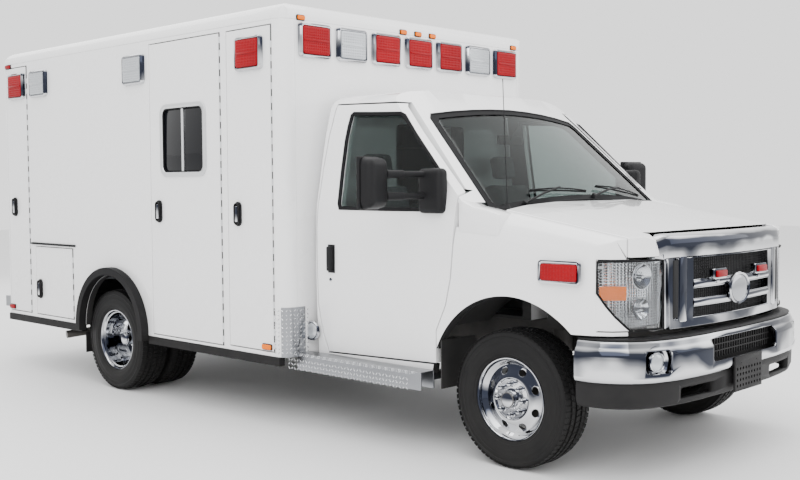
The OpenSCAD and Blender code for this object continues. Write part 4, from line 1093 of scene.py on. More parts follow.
@dataclass
class Wheels:
    """All six tyres and wheels.

    Attributes:
        twin_gap: Distance between the middles of twin tyres.
    """

    twin_gap: float = 0.267

    def build(self) -> None:
        """Builds every wheel and mounts it."""
        tyre = Tyre().build()
        front = WheelCover().build()
        rear = WheelCover(dish=-0.118, hub_out=0.150).build()
        inner = WheelCover(dish=0.11, hub_out=0.01, lip_out=0.0975)
        plain = lathe("inner_wheel", inner.profile(), (0, 0, 0), (0, 0, 1), 64, 30)
        for side, word in SIDES:
            out = (side, 0, 0)
            for end in ("front", "rear"):
                low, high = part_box("tyre_%s_%s" % (end, word))
                y = (low.y + high.y) / 2
                body = "wheel_%s_%s" % (end, word)
                x = side * (high.x - low.x - self.twin_gap * (end == "rear")) / 2
                edge = low.x if side < 0 else high.x
                seat = facing((edge - x, y, AXLE_Z), out)
                tyres = [copied(tyre, seat)]
                rims = [copied(front if end == "front" else rear, seat)]
                if end == "rear":
                    inside = facing((edge - x - side * self.twin_gap, y, AXLE_Z), out)
                    tyres.append(copied(tyre, inside))
                    rims.append(copied(plain, inside))
                finished(tyres, "%s_%s_tyre" % (end, word), TYRE_RUBBER, "tyre_%s_%s" % (end, word),
                         body=body)
                finished(rims, "%s_%s_wheel" % (end, word), CHROME, "rim_%s_%s" % (end, word),
                         body=body, slot="wheel_chrome")
        for seed in (tyre, front, rear, plain):
            bpy.data.objects.remove(seed)
        for node in ("knuckle_right", "knuckle_left", "front_axle", "rear_axle"):
            dress(node, CHASSIS)


# ---- lamps


class LampColour(Enum):
    """Colours of warning lamps."""

    RED = "red"
    CLEAR = "clear"


@dataclass
class WarningLamp:
    """A rectangular warning lamp with a chrome bezel and a lens with small prisms.

    Attributes:
        width: Width over the bezel.
        height: Height over the bezel.
        out: How far the bezel stands out.
    """

    width: float = 0.260
    height: float = 0.211
    out: float = 0.020

    def bezel(self) -> Piece:
        """Returns the bezel in its own frame, outwards being +z."""
        piece = slab("bezel", (self.width, self.height, 0.026), 0.0, self.out)
        select_faces(piece, lambda face: face.normal.z > 0.9)
        bpy.ops.mesh.inset(thickness=0.010, depth=0.010)
        bpy.ops.mesh.inset(thickness=0.006, depth=0.0)
        bpy.ops.mesh.inset(thickness=0.004, depth=-0.010)
        bpy.ops.object.mode_set(mode="OBJECT")
        bevel(piece, 0.0016, 2, 30, clamp=False)
        return smooth(piece, 32)

    def lens(self) -> Piece:
        """Returns the lens with its grid of prisms, outwards being +z."""
        w, h = self.width - 0.042, self.height - 0.042
        body = slab("lens", (w, h, 0.016), 0.010, self.out + 0.002, 0.003)
        grid = prism_grid(13, 9, w - 0.016, h - 0.016, self.out + 0.0118, 0.0032)
        bar = block("bar", (-w / 2 + 0.006, -0.006, self.out + 0.011),
                    (w / 2 - 0.006, 0.006, self.out + 0.017), 0.002, 2)
        return join("lens", [body, grid, bar])


@dataclass
class Lamps:
    """Warning lamps, markers and fender lamps.

    Attributes:
        pitch: Spacing of the front row.
        drop: How far the front row's middle lies below the roof's edge line.
    """

    pitch: float = 0.316
    drop: float = 0.121

    def place(self, seeds: tuple, seat: Matrix, name: str, body: str, colour: LampColour) -> None:
        """Copies a lamp to one place.

        Args:
            seeds: The bezel and the lens.
            seat: Where the lamp goes.
            name: Name of the lamp.
            body: The body that it rides on.
            colour: Colour of its lens.
        """
        red = colour is LampColour.RED
        finished(copied(seeds[0], seat), name + "_bezel", CHROME, body=body)
        finished(copied(seeds[1], seat), name + "_lens", RED_LENS if red else WHITE_LENS, body=body)

    def build(self) -> None:
        """Builds every lamp and mounts it."""
        lamp = WarningLamp()
        seeds = (lamp.bezel(), lamp.lens())
        red, clear = LampColour.RED, LampColour.CLEAR
        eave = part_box("box_side_right")[1].z
        row = (red, clear, red, red, red, clear, red)
        for i, colour in enumerate(row):
            seat = facing(((i - 3) * self.pitch, BOX_FRONT, eave - self.drop), (0, -1, 0))
            self.place(seeds, seat, "front_lamp_%d" % (i + 1), "root", colour)
        side_z = eave - 0.190
        rear_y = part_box("locker_rear_right")[0].y
        front_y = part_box("locker_front_right")[0].y
        mid_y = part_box("side_door")[1].y + 0.183
        for side, word in SIDES:
            out = (side, 0, 0)
            for name, y, body, colour in (
                    ("front_side", front_y + 0.206, "locker_front_" + word, red),
                    ("scene_fore", mid_y, "root", clear),
                    ("scene_aft", rear_y - 0.216, "root", clear),
                    ("rear_side", rear_y + 0.152, "locker_rear_" + word, red)):
                self.place(seeds, facing((side * WALL, y, side_z), out),
                           "%s_lamp_%s" % (name, word), body, colour)
            for name, z, colour in (("rear_high", eave - self.drop, red), ("rear_mid", 2.060, clear),
                                    ("rear_low", 0.900, red)):
                self.place(seeds, facing((side * 0.953, BOX_BACK, z), (0, 1, 0)),
                           "%s_lamp_%s" % (name, word), "root", colour)
        for seed in seeds:
            bpy.data.objects.remove(seed)
        self.markers(eave)
        self.fender_lamps()

    def markers(self, eave: float) -> None:
        """Builds the small marker lamps along the edges of the box."""
        ambers, reds, bases = [], [], []

        def marker(centre: Point, out: Point, width: float, height: float, store: list) -> None:
            """Adds one marker with its base."""
            seat = facing(centre, out)
            base = slab("base", (width + 0.012, height + 0.010, 0.008), 0, 0.005, 0.0015)
            lens = slab("lens", (width, height, 0.007), 0.004, 0.012, 0.004)
            bases.append(moved(base, seat))
            store.append(moved(lens, seat))

        for x in (-1.056, -0.146, 0.0, 0.146, 1.056):
            marker((x, BOX_FRONT, eave + 0.012), (0, -1, 0), 0.056, 0.026, ambers)
            marker((x, BOX_BACK, eave + 0.008), (0, 1, 0), 0.056, 0.022, reds)
        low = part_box("box_side_right")[0].z
        for side, word in SIDES:
            out = (side, 0, 0)
            own: list = []
            marker((side * WALL, BOX_FRONT + 0.168, low + 0.056), out, 0.084, 0.030, own)
            finished(own[0], "amber_side_marker_" + word, AMBER_LENS, body="locker_front_" + word)
            finished(bases.pop(), "amber_side_base_" + word, BLACK_PLASTIC,
                     body="locker_front_" + word)
            marker((side * WALL, BOX_BACK - 0.065, low + 0.058), out, 0.080, 0.030, reds)
            marker((side * (WALL - 0.001), BOX_BACK - 0.080, eave - 0.018), out, 0.080, 0.026, reds)
        finished(ambers, "amber_markers", AMBER_LENS, "warning_lamps")
        finished(reds, "red_markers", RED_LENS)
        finished(bases, "marker_bases", BLACK_PLASTIC)

    def fender_lamps(self) -> None:
        """Builds the long red lamps in the fenders."""
        bezels, lenses = [], []
        for side in (-1, 1):
            seat = facing((side * (CAB_HALF - 0.004), along(-0.334), 1.059), (side, 0, 0))
            seat = seat @ Matrix.Rotation(math.radians(-2.5 * side), 4, "Y")
            bezel = slab("bezel", (0.248, 0.121, 0.022), 0, 0.019, 0.004)
            hole = slab("hole", (0.216, 0.088, 0.014), 0.012, 0.02)
            bezels.append(moved(carve(bezel, hole), seat))
            lens = slab("lens", (0.212, 0.084, 0.012), 0.008, 0.013, 0.003)
            grid = prism_grid(11, 4, 0.200, 0.072, 0.0208, 0.003)
            lenses.append(moved(join("lens", [lens, grid]), seat))
        finished(bezels, "fender_lamp_bezels", CHROME)
        finished(lenses, "fender_lamp_lenses", RED_LENS)


# ---- patient box


@dataclass
class DoorPanel:
    """A flat door or lid of the patient box.

    Attributes:
        node: The CAD node that it stands for.
        low: Its lowest corner.
        high: Its highest corner.
    """

    node: str
    low: Vector
    high: Vector

    @property
    def side(self) -> int:
        """Returns -1 on the right side and 1 on the left."""
        return -1 if self.low.x < 0 else 1

    def panel(self) -> Piece:
        """Returns the panel with rounded edges."""
        thick = 0.044
        x0 = self.side * (WALL - thick)
        x1 = self.side * WALL
        return block(self.node, (min(x0, x1), self.low.y, self.low.z),
                     (max(x0, x1), self.high.y, self.high.z), 0.005, 3)

    def hinge(self) -> Piece:
        """Returns the long hinge along the door's front edge."""
        low, high = self.low.z, self.high.z
        pin, barrels = hinge_parts(self.side * (WALL + 0.0015), self.low.y - 0.003, low, high,
                                   int((high - low) / BARREL_PITCH))
        # The pin takes the painted shadow colour, for the dark gaps between the barrels.
        pin.data.materials.append(SEAM_SHADOW.build())
        barrels.data.materials.append(ALUMINIUM.build())
        return join("hinge", [barrels, pin])


def hinge_parts(x: float, y: float, low: float, high: float, count: int) -> list[Piece]:
    """Makes an upright piano hinge.

    Args:
        x: The x of its axis.
        y: The y of its axis.
        low: Height of its lower end.
        high: Height of its upper end.
        count: Number of its barrels.

    Returns:
        The pin and the barrels.
    """
    pin = rod("pin", (x, y, low), (x, y, high), 0.0042, 12)
    seed = rod("barrel", (x, y, 0), (x, y, 0.040), 0.0056, 12)
    barrels = repeated("barrels", seed, [Matrix.Translation((0, 0, low + 0.02 + BARREL_PITCH * i))
                                         for i in range(count)])
    return [pin, smooth(barrels, 40)]


def paddle_handle(name: str, body: str, seat: Matrix) -> None:
    """Builds an oval black paddle handle with a chrome insert.

    Args:
        name: Name of the handle.
        body: The body that it rides on.
        seat: Its middle on the panel, with its long side along its own y.
    """
    plate = slab("plate", (0.066, 0.156, 0.0325, 10), 0.0, 0.014, 0.005)
    dish = slab("dish", (0.044, 0.128, 0.0215, 10), 0.006, 0.02)
    rim = slab("rim", (0.052, 0.140, 0.0255, 10), 0.013, 0.0135, 0.003)
    hollow = slab("hollow", (0.040, 0.126, 0.0195, 10), 0.012, 0.03)
    plate = carve(plate, dish)
    rim = carve(rim, hollow)
    grip = block("grip", (-0.0125, -0.052, 0.008), (0.0125, 0.050, 0.0262), 0.005, 3)
    lock = rod("lock", (0, -0.058, 0.004), (0, -0.058, 0.012), 0.006, 20, 0.001)
    finished(moved(join("h", [plate, rim]), seat), name, BLACK_PLASTIC, body=body,
             slot="mirror_black")
    finished(moved(join("g", [grip, lock]), seat), name + "_insert", CHROME, body=body)


def window_unit(name: str, body: str, seat: Matrix, width: float, height: float, slider: bool,
                *replaced: str) -> None:
    """Builds a window: aluminium frame, dark glass and, if it slides, a centre bar.

    Args:
        name: Name of the window.
        body: The body that it rides on.
        seat: Its middle on the panel, outwards being +z.
        width: Width over the frame.
        height: Height over the frame.
        slider: Whether it has a centre bar.
        replaced: CAD nodes that it stands for.
    """
    ring = slab("frame", (width, height, 0.070, 8), 0.0, 0.011, 0.003)
    hole = slab("hole", (width - 0.060, height - 0.060, 0.045, 8), -0.01, 0.03)
    ring = carve(ring, hole)
    parts = [ring]
    if slider:
        parts.append(block("bar", (-0.012, -height / 2 + 0.03, -0.004),
                           (0.012, height / 2 - 0.03, 0.007), 0.002, 2))
    glass = slab("glass", (width - 0.050, height - 0.050, 0.048, 8), -0.010, 0.008, 0.001)
    seal = slab("seal", (width - 0.056, height - 0.056, 0.047, 8), -0.004, 0.011, 0.002)
    gap = slab("gap", (width - 0.076, height - 0.076, 0.038, 8), -0.02, 0.05)
    finished(moved(join("f", parts), seat), name + "_frame", ALUMINIUM, body=body)
    finished(moved(carve(seal, gap), seat), name + "_seal", RUBBER, body=body)
    finished(moved(glass, seat), name + "_glass", DARK_GLASS, *replaced, body=body)


def glaze(panel: Piece, name: str, body: str, node: str, out: Point, slider: bool) -> None:
    """Cuts a door's panel for its window and builds the window.

    Args:
        panel: The panel.
        name: Name of the window.
        body: The body that it rides on.
        node: The CAD node that it stands for.
        out: Direction that it faces, to the right or to the rear.
        slider: Whether it has a centre bar.
    """
    low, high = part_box(node)
    middle, size = (low + high) / 2, high - low
    if out[0]:
        seat, width = facing((-WALL, middle.y, middle.z), out), size.y
    else:
        seat, width = facing((middle.x, BOX_BACK, middle.z), out), size.x
    cut = slab("cut", (width - 0.028, size.z - 0.028, 0.060, 8), -0.1, 0.2)
    carve(panel, moved(cut, seat))
    smooth(panel)
    window_unit(name, body, seat, width, size.z, slider, node)


@dataclass
class PatientBox:
    """Walls, roof, doors, lockers, windows and trim of the patient box.

    Attributes:
        edge: Radius of the walls' edges.
        lock_height: Height of the handles on the tall doors.
        rear_axle: How far the rear axle is behind the front one.
        arch: Radius of the wheel arch in the wall.
    """

    edge: float = 0.003
    lock_height: float = 1.328
    rear_axle: float = 3.505
    arch: float = 0.52

    def build(self) -> None:
        """Builds the box and everything on it."""
        for node in ("box_side_right", "box_side_left", "box_front", "box_rear", "box_roof"):
            panel = paint(skin(node, self.edge), BOX_PAINT,
                          (LINER, arch_test(self.rear_axle, self.arch, WALL)))
            finished(panel, node + "_panel", BOX_PAINT, node)
        self.side_doors()
        self.rear_doors()
        self.trim()
        dress("box_floor", FLOOR_SHEET)
        dress("interior_cabinets", CABINET)

    def side_doors(self) -> None:
        """Builds the side door and the locker doors with hinges and handles."""
        tall = self.lock_height
        for node, back, height in (
                ("locker_front_right", 0.110, tall - 0.005), ("locker_rear_right", 0.120, tall + 0.010),
                ("locker_front_left", 0.110, tall - 0.005), ("locker_rear_left", 0.120, tall + 0.010),
                ("locker_low_right", 0.073, 0.680), ("locker_mid_left", 0.073, 0.760),
                ("side_door", 0.105, tall)):
            low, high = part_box(node)
            door = DoorPanel(node, low, high)
            panel = door.panel()
            if node == "side_door":
                glaze(panel, "side_window", node, "side_door_window", (-1, 0, 0), True)
            finished(level(panel), node + "_panel", BOX_PAINT, node, body=node)
            finished(door.hinge(), node + "_hinge", ALUMINIUM)
            paddle_handle(node + "_handle", node, facing(
                (door.side * WALL, high.y - back, height), (door.side, 0, 0)))
            finished(self.seal(door), node + "_seal", RUBBER)

    def seal(self, door: DoorPanel) -> Piece:
        """Returns the rubber seal round a door's opening, behind the door's edge."""
        x = door.side * (WALL - 0.0465)
        y0, y1, z0, z1 = door.low.y + 0.002, door.high.y - 0.002, door.low.z + 0.002, door.high.z - 0.002
        return tube("seal", [(x, y0, z0), (x, y1, z0), (x, y1, z1), (x, y0, z1)], 0.0022, True, 2)

    def rear_doors(self) -> None:
        """Builds the pair of rear doors with windows, hinges and handles."""
        for side, word in SIDES:
            node = "rear_door_" + word
            low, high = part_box(node)
            panel = block(node, (low.x, BOX_BACK - 0.044, low.z), (high.x, BOX_BACK, high.z), 0.005)
            glaze(panel, "rear_window_" + word, node, "rear_window_" + word, (0, 1, 0), False)
            finished(level(panel), node + "_panel", BOX_PAINT, node, body=node)
            hinge = hinge_parts(side * 0.637, BOX_BACK + 0.0015, low.z, high.z, 20)
            finished(hinge, node + "_hinge", ALUMINIUM)
            paddle_handle(node + "_handle", node,
                          facing((side * 0.093, BOX_BACK, self.lock_height), (0, 1, 0)))
            line = ((0.55, 0.002), (0.55, 0.045), (0.20, 0.045), (0.20, 0.002))
            rail = tube("rail", [(side * x, BOX_BACK + y, 1.44) for x, y in line], 0.0125)
            finished(rail, node + "_grab_rail", CHROME, body=node, slot="tread_plate")

    def trim(self) -> None:
        """Builds the rub rails, drip rail, running boards, rear step, the tread bars on them and on the
        stone guards, and the step lamps.
        """
        finished(skin("rub_rails", 0.004), "rub_rails_trim", RUBBER, "rub_rails")
        low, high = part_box("locker_low_right")
        rail = prism("drip", [(-WALL, 0, high.z + 0.018), (-WALL - 0.012, 0, high.z + 0.018),
                              (-WALL - 0.014, 0, high.z + 0.026), (-WALL - 0.010, 0, high.z + 0.034),
                              (-WALL, 0, high.z + 0.034)], (0, high.y - low.y + 0.1, 0))
        finished(moved(rail, Matrix.Translation((0, low.y - 0.046, 0))), "drip_rail", RUBBER)
        boards = paint(skin("running_boards", 0.002), TREAD_PLATE,
                       (LINER, lambda face: face.center.y < along(0.500)))
        finished(boards, "running_board_plates", TREAD_PLATE, "running_boards")
        finished(skin("rear_step", 0.003), "rear_step_plate", TREAD_PLATE, "rear_step")
        self.tread_bars()
        self.step_lamp()

    def tread_bars(self) -> None:
        """Builds the raised lozenges of the tread plates."""
        pieces = []
        x_out = -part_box("running_boards")[0].x
        y0, y1 = along(0.512), along(1.551)
        for side in (-1, 1):
            out = (side, 0, 0)
            middle = (y0 + y1) / 2
            top = facing((side * (x_out - 0.052), middle, 0.468), (0, 0, 1), (side, 0, 0))
            pieces.append(lozenges(top, y1 - y0 - 0.02, 0.100))
            pieces.append(lozenges(facing((side * x_out, middle, 0.417), out), y1 - y0 - 0.02, 0.094))
            guard_x = side * (WALL + 0.0042)
            pieces.append(self.guard_bars(side, guard_x))
        step_low, step_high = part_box("rear_step")
        middle = Vector(((step_low.x + step_high.x) / 2, (BOX_BACK + step_high.y) / 2, 0.560))
        pieces.append(lozenges(facing(middle, (0, 0, 1), (0, 1, 0)), 2.16, 0.27))
        pieces.append(lozenges(facing((0, step_high.y, 0.515), (0, 1, 0)), 2.16, 0.078))
        finished(pieces, "tread_lozenges", TREAD_BAR)

    def guard_bars(self, side: int, guard_x: float) -> Piece:
        """Returns the lozenges on a stone guard, bent round the corner of the box.

        Args:
            side: -1 on the right and 1 on the left.
            guard_x: Where the guard's side face lies.

        Returns:
            The lozenges.
        """
        radius, middle_z, side_length, gap = 0.099, 0.600, 0.005, 0.004
        corner = BOX_FRONT + 0.095
        strip = lozenges(Matrix.Translation((0, middle_z, 0)), 0.260, 0.290)
        for v in strip.data.vertices:
            arc, height = v.co.x + 0.130, v.co.z
            turn = (arc - side_length) / radius
            reach = radius + height
            if turn < 0:
                x, y = guard_x + side * height, corner + side_length - arc - gap
            elif turn < math.pi / 2:
                x = guard_x - side * (radius - reach * math.cos(turn))
                y = corner - reach * math.sin(turn)
            else:
                x = guard_x - side * (arc - side_length + radius * (1 - math.pi / 2))
                y = BOX_FRONT - gap - height
            v.co = (x, y, v.co.y)
        return tidy_mesh(strip, 1e-6)

    def step_lamp(self) -> None:
        """Builds the round clear lamps in the cab's rear corners."""
        centre, out = (CAB_HALF + 0.005, along(1.520), 0.600), (1, 0, 0)
        rings = lathe_pair("ring", [(0.050, 0.0), (0.062, 0.0), (0.063, 0.010), (0.058, 0.018),
                                    (0.051, 0.016), (0.050, 0.0)], centre, out, 48)
        domes = lathe_pair("dome", [(0.0, 0.022), (0.020, 0.0215), (0.036, 0.018), (0.046, 0.012),
                                    (0.051, 0.004), (0.051, 0.0), (0.0, 0.0)], centre, out, 48)
        finished(rings, "step_lamp_rings", CHROME)
        finished(domes, "step_lamp_lenses", WHITE_LENS)


def lozenges(seat: Matrix, width: float, height: float, pitch: float = 0.026) -> Piece:
    """Makes the raised bars of a tread plate over a rectangle.

    Args:
        seat: Its middle, with its width along its own x.
        width: Width of the rectangle.
        height: Height of the rectangle.
        pitch: Spacing of the bars.

    Returns:
        All the bars as one piece.
    """
    length, half, rise = pitch * 0.86, pitch * 0.15, 0.0016
    points = [(-length / 2, 0, 0), (0, -half, 0), (length / 2, 0, 0), (0, half, 0),
              (-length * 0.30, 0, rise), (length * 0.30, 0, rise)]
    faces = [(0, 1, 4), (1, 5, 4), (1, 2, 5), (2, 3, 5), (3, 4, 5), (3, 0, 4), (3, 2, 1, 0)]
    seed = from_lists("lozenge", points, faces)
    across, up = int(width / pitch), int(height / pitch)
    places = []
    for i in range(across):
        for k in range(up):
            x = (i - (across - 1) / 2) * pitch
            y = (k - (up - 1) / 2) * pitch
            turn = math.radians(45 if (i + k) % 2 else -45)
            places.append(seat @ Matrix.Translation((x, y, 0)) @ Matrix.Rotation(turn, 4, "Z"))
    return repeated("lozenges", seed, places)


# ---- cab


@dataclass
class Cab:
    """Cab panels, glass seals, handles, mirrors, wipers and interior.

    Attributes:
        screen_y: Foot of the windshield behind the front axle.
        screen_z: Height of that foot.
        tilt: Slope of the windshield, in degrees.
        radius: Radius of the windshield's curve.
        side_line: Height and half width of the cab's side.
    """

    screen_y: float = 0.130
    screen_z: float = 1.400
    tilt: float = 41.7
    radius: float = 4.2
    side_line: tuple = ((0.44, 0.985), (0.70, 0.998), (1.0, 1.004), (1.25, 1.002), (1.38, 0.994),
                        (1.479, 0.974), (1.600, 0.953), (1.800, 0.915), (1.960, 0.872),
                        (1.991, 0.860), (2.02, 0.836))

    def side_x(self, z: float) -> float:
        """Returns the half width of the cab at a height."""
        for (z0, x0), (z1, x1) in zip(self.side_line, self.side_line[1:]):
            if z <= z1:
                return x0 + (x1 - x0) * (z - z0) / (z1 - z0)
        return self.side_line[-1][1]

    def on_screen(self, across: float, up: float, inside: float = 0.0) -> Vector:
        """Returns a point on the windshield's curved face.

        Args:
            across: Distance from the middle line.
            up: Distance up the slope.
            inside: Depth below the outer surface.

        Returns:
            The point.
        """
        back = self.radius - math.sqrt((self.radius - inside) ** 2 - across * across)
        a = math.radians(self.tilt - 90)
        y = along(self.screen_y) + back * math.cos(a) - up * math.sin(a)
        z = self.screen_z + back * math.sin(a) + up * math.cos(a)
        return Vector((across, y, z))

    def build(self) -> None:
        """Builds the cab and everything on it."""
        arch = arch_test(0, 0.56, CAB_HALF)

        def cowl(face: Face) -> bool:
            """Tells whether a face is part of the dark cowl in front of the windshield."""
            c = face.center
            return along(-0.05) < c.y < along(0.30) and abs(c.x) < 0.855 and 1.25 < c.z < 1.425

        shell = paint(skin("cab_shell", 0.003), CAB_PAINT, (CAB_TRIM, turned_in), (LINER, arch),
                      (BLACK_PLASTIC, cowl))
        finished(shell, "cab_shell_panel", CAB_PAINT, "cab_shell")
        fenders = paint(skin("front_fenders", 0.003), CAB_PAINT, (LINER, turned_in), (LINER, arch))
        finished(fenders, "fender_panels", CAB_PAINT, "front_fenders")
        hood = paint(skin("hood", 0.005, 3), CAB_PAINT, (LINER, lambda face: face.normal.z < -0.3))
        finished(hood, "hood_panel", CAB_PAINT, "hood", body="hood")
        for side, word in SIDES:
            door = paint(skin("cab_door_" + word, 0.003), CAB_PAINT, (CAB_TRIM, turned_in))
            finished(door, "cab_door_%s_panel" % word, CAB_PAINT, "cab_door_" + word,
                     body="cab_door_" + word)
            self.door_trim(side, word)
            self.mirror(side, word)
        self.pillar_foot()
        dress("windshield", SCREEN_GLASS)
        dress("cab_glass_right", DOOR_GLASS)
        dress("cab_glass_left", DOOR_GLASS)
        self.screen_trim()
        self.wipers()
        self.aerial()

    def window_line(self, grow: float) -> Outline:
        """Returns the side window's outline as y and z, grown by a distance."""
        g = grow
        return [(0.462 - g, 1.360 - g), (0.90, 1.361 - g), (1.278 + g, 1.362 - g), (1.290 + g, 1.39),
                (1.296 + g, 1.58), (1.2965 + g, 1.7705), (1.292 + g, 1.86), (1.284 + g, 1.9267),
                (1.270, 1.936 + g), (1.10, 1.9265 + g), (0.870, 1.9168 + g), (0.838 - g, 1.9019 + g),
                (0.72, 1.787 + g), (0.60, 1.670 + g), (0.474 - g, 1.5469), (0.456 - g, 1.451)]

    def door_trim(self, side: int, word: str) -> None:
        """Builds a cab door's window seals, handle and lock."""
        body = "cab_door_" + word
        seals = []
        for grow, radius, proud in ((-0.006, 0.0075, -0.003), (0.003, 0.0085, -0.001)):
            line = [(side * (self.side_x(z) + proud), along(y), z) for y, z in self.window_line(grow)]
            seals.append(tube("seal", line, radius, True, 3))
        finished(seals, body + "_window_seal", RUBBER, body=body)
        grip = block("grip", (CAB_HALF - 0.012, along(1.326), 0.980),
                     (CAB_HALF + 0.028, along(1.370), 1.129), 0.008, 4)
        plate = block("plate", (CAB_HALF - 0.010, along(1.318), 0.968),
                      (CAB_HALF + 0.004, along(1.378), 1.141), 0.003, 2)
        key = rod("key", (CAB_HALF - 0.004, along(1.357), 0.927), (CAB_HALF + 0.003, along(1.357), 0.927),
                  0.011, 24, 0.001)
        key.data.materials.append(CHROME.build())
        for part in (grip, plate):
            part.data.materials.append(BLACK_PLASTIC.build())
        handle = join("handle", [grip, plate, key])
        if side < 0:
            moved(handle, MIRROR)
        finished(handle, body + "_handle", BLACK_PLASTIC, body=body, slot="mirror_black")

    def mirror(self, side: int, word: str) -> None:
        """Builds a door mirror: shell, arms, foot and two glasses."""
        y = along
        turn = Matrix.Translation((-1.325, y(0.660), 1.512)) @ Matrix.Rotation(math.radians(12), 4, "Z")
        shell = block("shell", (-0.100, -0.050, -0.143), (0.100, 0.040, 0.143), 0, 1)
        bevel(shell, 0.043, 6)
        for v in shell.data.vertices:
            if v.co.y < 0:
                v.co.x *= 0.93
                v.co.z *= 0.95
        moved(smooth(shell, 60), turn)
        band = block("band", (-0.101, 0.022, -0.144), (0.101, 0.044, 0.144), 0.008, 3)
        moved(band, turn)
        arms = []
        for z in (1.440, 1.560):
            arms.append(rod("arm", (-CAB_HALF - 0.02, y(0.545), z), (-1.262, y(0.652), z), 0.018,
                            20, 0.003))
            arms.append(rod("sleeve", (-1.15, y(0.601), z), (-1.24, y(0.640), z), 0.023, 20, 0.003))
        foot = block("foot", (-CAB_HALF - 0.042, y(0.428), 1.342),
                     (-self.side_x(1.5) + 0.006, y(0.602), 1.592), 0.030, 5)
        glass = block("glass", (-0.088, 0.040, -0.050), (0.088, 0.0465, 0.130), 0.002, 2)
        wide = block("wide", (-0.088, 0.040, -0.130), (0.088, 0.0465, -0.060), 0.002, 2)
        glasses = moved(join("g", [glass, wide]), turn)
        whole = join("mirror", [shell, band, foot] + arms)
        if side > 0:
            moved(whole, MIRROR)
            moved(glasses, MIRROR)
        body = "cab_door_" + word
        finished(whole, "mirror_%s_shell" % word, BLACK_PLASTIC, "mirror_" + word, body=body,
                 slot="mirror_black")
        finished(glasses, "mirror_%s_glass" % word, CHROME, body=body)

    def pillar_foot(self) -> None:
        """Builds the painted corners between the fenders and the windshield's pillars."""
        pieces = []
        for side in (-1, 1):
            line = [(0.060, 1.225), (0.060, 1.346), (0.150, 1.370), (0.240, 1.384), (0.300, 1.408),
                    (0.347, 1.432), (0.347, 1.225)]
            outline = [(side * 0.857, along(y), z) for y, z in line]
            pieces.append(prism("foot", outline, (side * 0.136, 0, 0), 0.020))
        finished(pieces, "pillar_feet", CAB_PAINT)

    def screen_line(self, shrink: float) -> Outline:
        """Returns the windshield's outline on its slope, shrunk by a distance."""
        s = shrink
        corners = [(-0.852 + s, 0.060 + s), (-0.830 + s * 0.6, 0.020 + s), (-0.4, 0.016 + s),
                   (0.0, 0.014 + s), (0.4, 0.016 + s), (0.830 - s * 0.6, 0.020 + s),
                   (0.852 - s, 0.060 + s), (0.728 - s, 0.806 - s), (0.700 - s * 0.6, 0.842 - s),
                   (0.35, 0.846 - s), (0.0, 0.850 - s), (-0.35, 0.846 - s),
                   (-0.700 + s * 0.6, 0.842 - s), (-0.728 + s, 0.806 - s)]
        line = []
        for (x0, v0), (x1, v1) in zip(corners, corners[1:] + corners[:1]):
            steps = max(1, int(math.hypot(x1 - x0, v1 - v0) / 0.12))
            line += [(x0 + (x1 - x0) * i / steps, v0 + (v1 - v0) * i / steps) for i in range(steps)]
        return line

    def screen_trim(self) -> None:
        """Builds the windshield's black border and its rubber moulding."""
        outer = self.screen_line(0.002)
        inner = [(x * 0.957, 0.425 + (v - 0.425) * 0.905) for x, v in outer]
        points = [self.on_screen(x, v, 0.0005) for x, v in outer]
        points += [self.on_screen(x, v, 0.0005) for x, v in inner]
        n = len(outer)
        band = from_lists("band", points, [(i, (i + 1) % n, n + (i + 1) % n, n + i) for i in range(n)])
        modify(band, "SOLIDIFY", thickness=0.0012, offset=0.0)
        tidy_mesh(band, 1e-6)
        finished(band, "screen_border", RUBBER)
        line = [self.on_screen(x, v, 0.001) for x, v in self.screen_line(-0.001)]
        finished(tube("moulding", line, 0.0065, True, 3), "screen_moulding", RUBBER)
        mirror_at = self.on_screen(0, 0.74, 0.06)
        glass = block("inner_mirror", mirror_at + Vector((-0.12, 0.03, -0.10)),
                      mirror_at + Vector((0.12, 0.05, -0.04)), 0.008, 3)
        stalk = rod("stalk", self.on_screen(0, 0.74, 0.013),
                    mirror_at + Vector((0, 0.035, -0.07)), 0.007, 12)
        finished([glass, stalk], "inner_mirror", BLACK_PLASTIC, slot="mirror_black")

    def wipers(self) -> None:
        """Builds the two wipers, parked along the foot of the windshield."""
        parts = []
        for pivot, tip, heel in ((-0.62, -0.02, -0.50), (0.02, 0.62, 0.14)):
            foot = self.on_screen(pivot, 0.028, -0.012)
            parts.append(rod("pivot", self.on_screen(pivot, 0.028, 0.02),
                             self.on_screen(pivot, 0.028, -0.028), 0.014, 20, 0.003))
            mid_across, mid_up = (tip + heel) / 2, 0.100
            hold = self.on_screen(mid_across, mid_up, -0.030)
            bend = self.on_screen((pivot + mid_across) / 2, 0.062, -0.036)
            parts.append(tube("arm", [foot, bend, hold], 0.0065, False, 3))
            blade = [self.on_screen(heel + (tip - heel) * i / 8, 0.105 - 0.045 * i / 8 + 0.01, -0.010)
                     for i in range(9)]
            parts.append(tube("blade", blade, 0.0055, False, 2))
            spine = [self.on_screen(heel + (tip - heel) * i / 8, 0.105 - 0.045 * i / 8 + 0.01,
                                    -0.018 - 0.010 * math.sin(math.pi * i / 8)) for i in range(9)]
            parts.append(tube("spine", spine, 0.0045, False, 2))
        finished(parts, "wipers", BLACK_PLASTIC)

    def aerial(self) -> None:
        """Builds the aerial on the right fender."""
        base = (-0.800, along(0.155), 1.372)
        foot = lathe("foot", [(0.0, 0.030), (0.008, 0.030), (0.014, 0.012), (0.024, 0.0), (0.0, -0.004)],
                     base, (0, 0, 1), 24)
        whip = rod("whip", (base[0], base[1], base[2] + 0.02), (base[0], base[1] + 0.03, base[2] + 0.70),
                   0.0022, 8)
        finished([foot, whip], "aerial", BLACK_PLASTIC)


# ---- front end


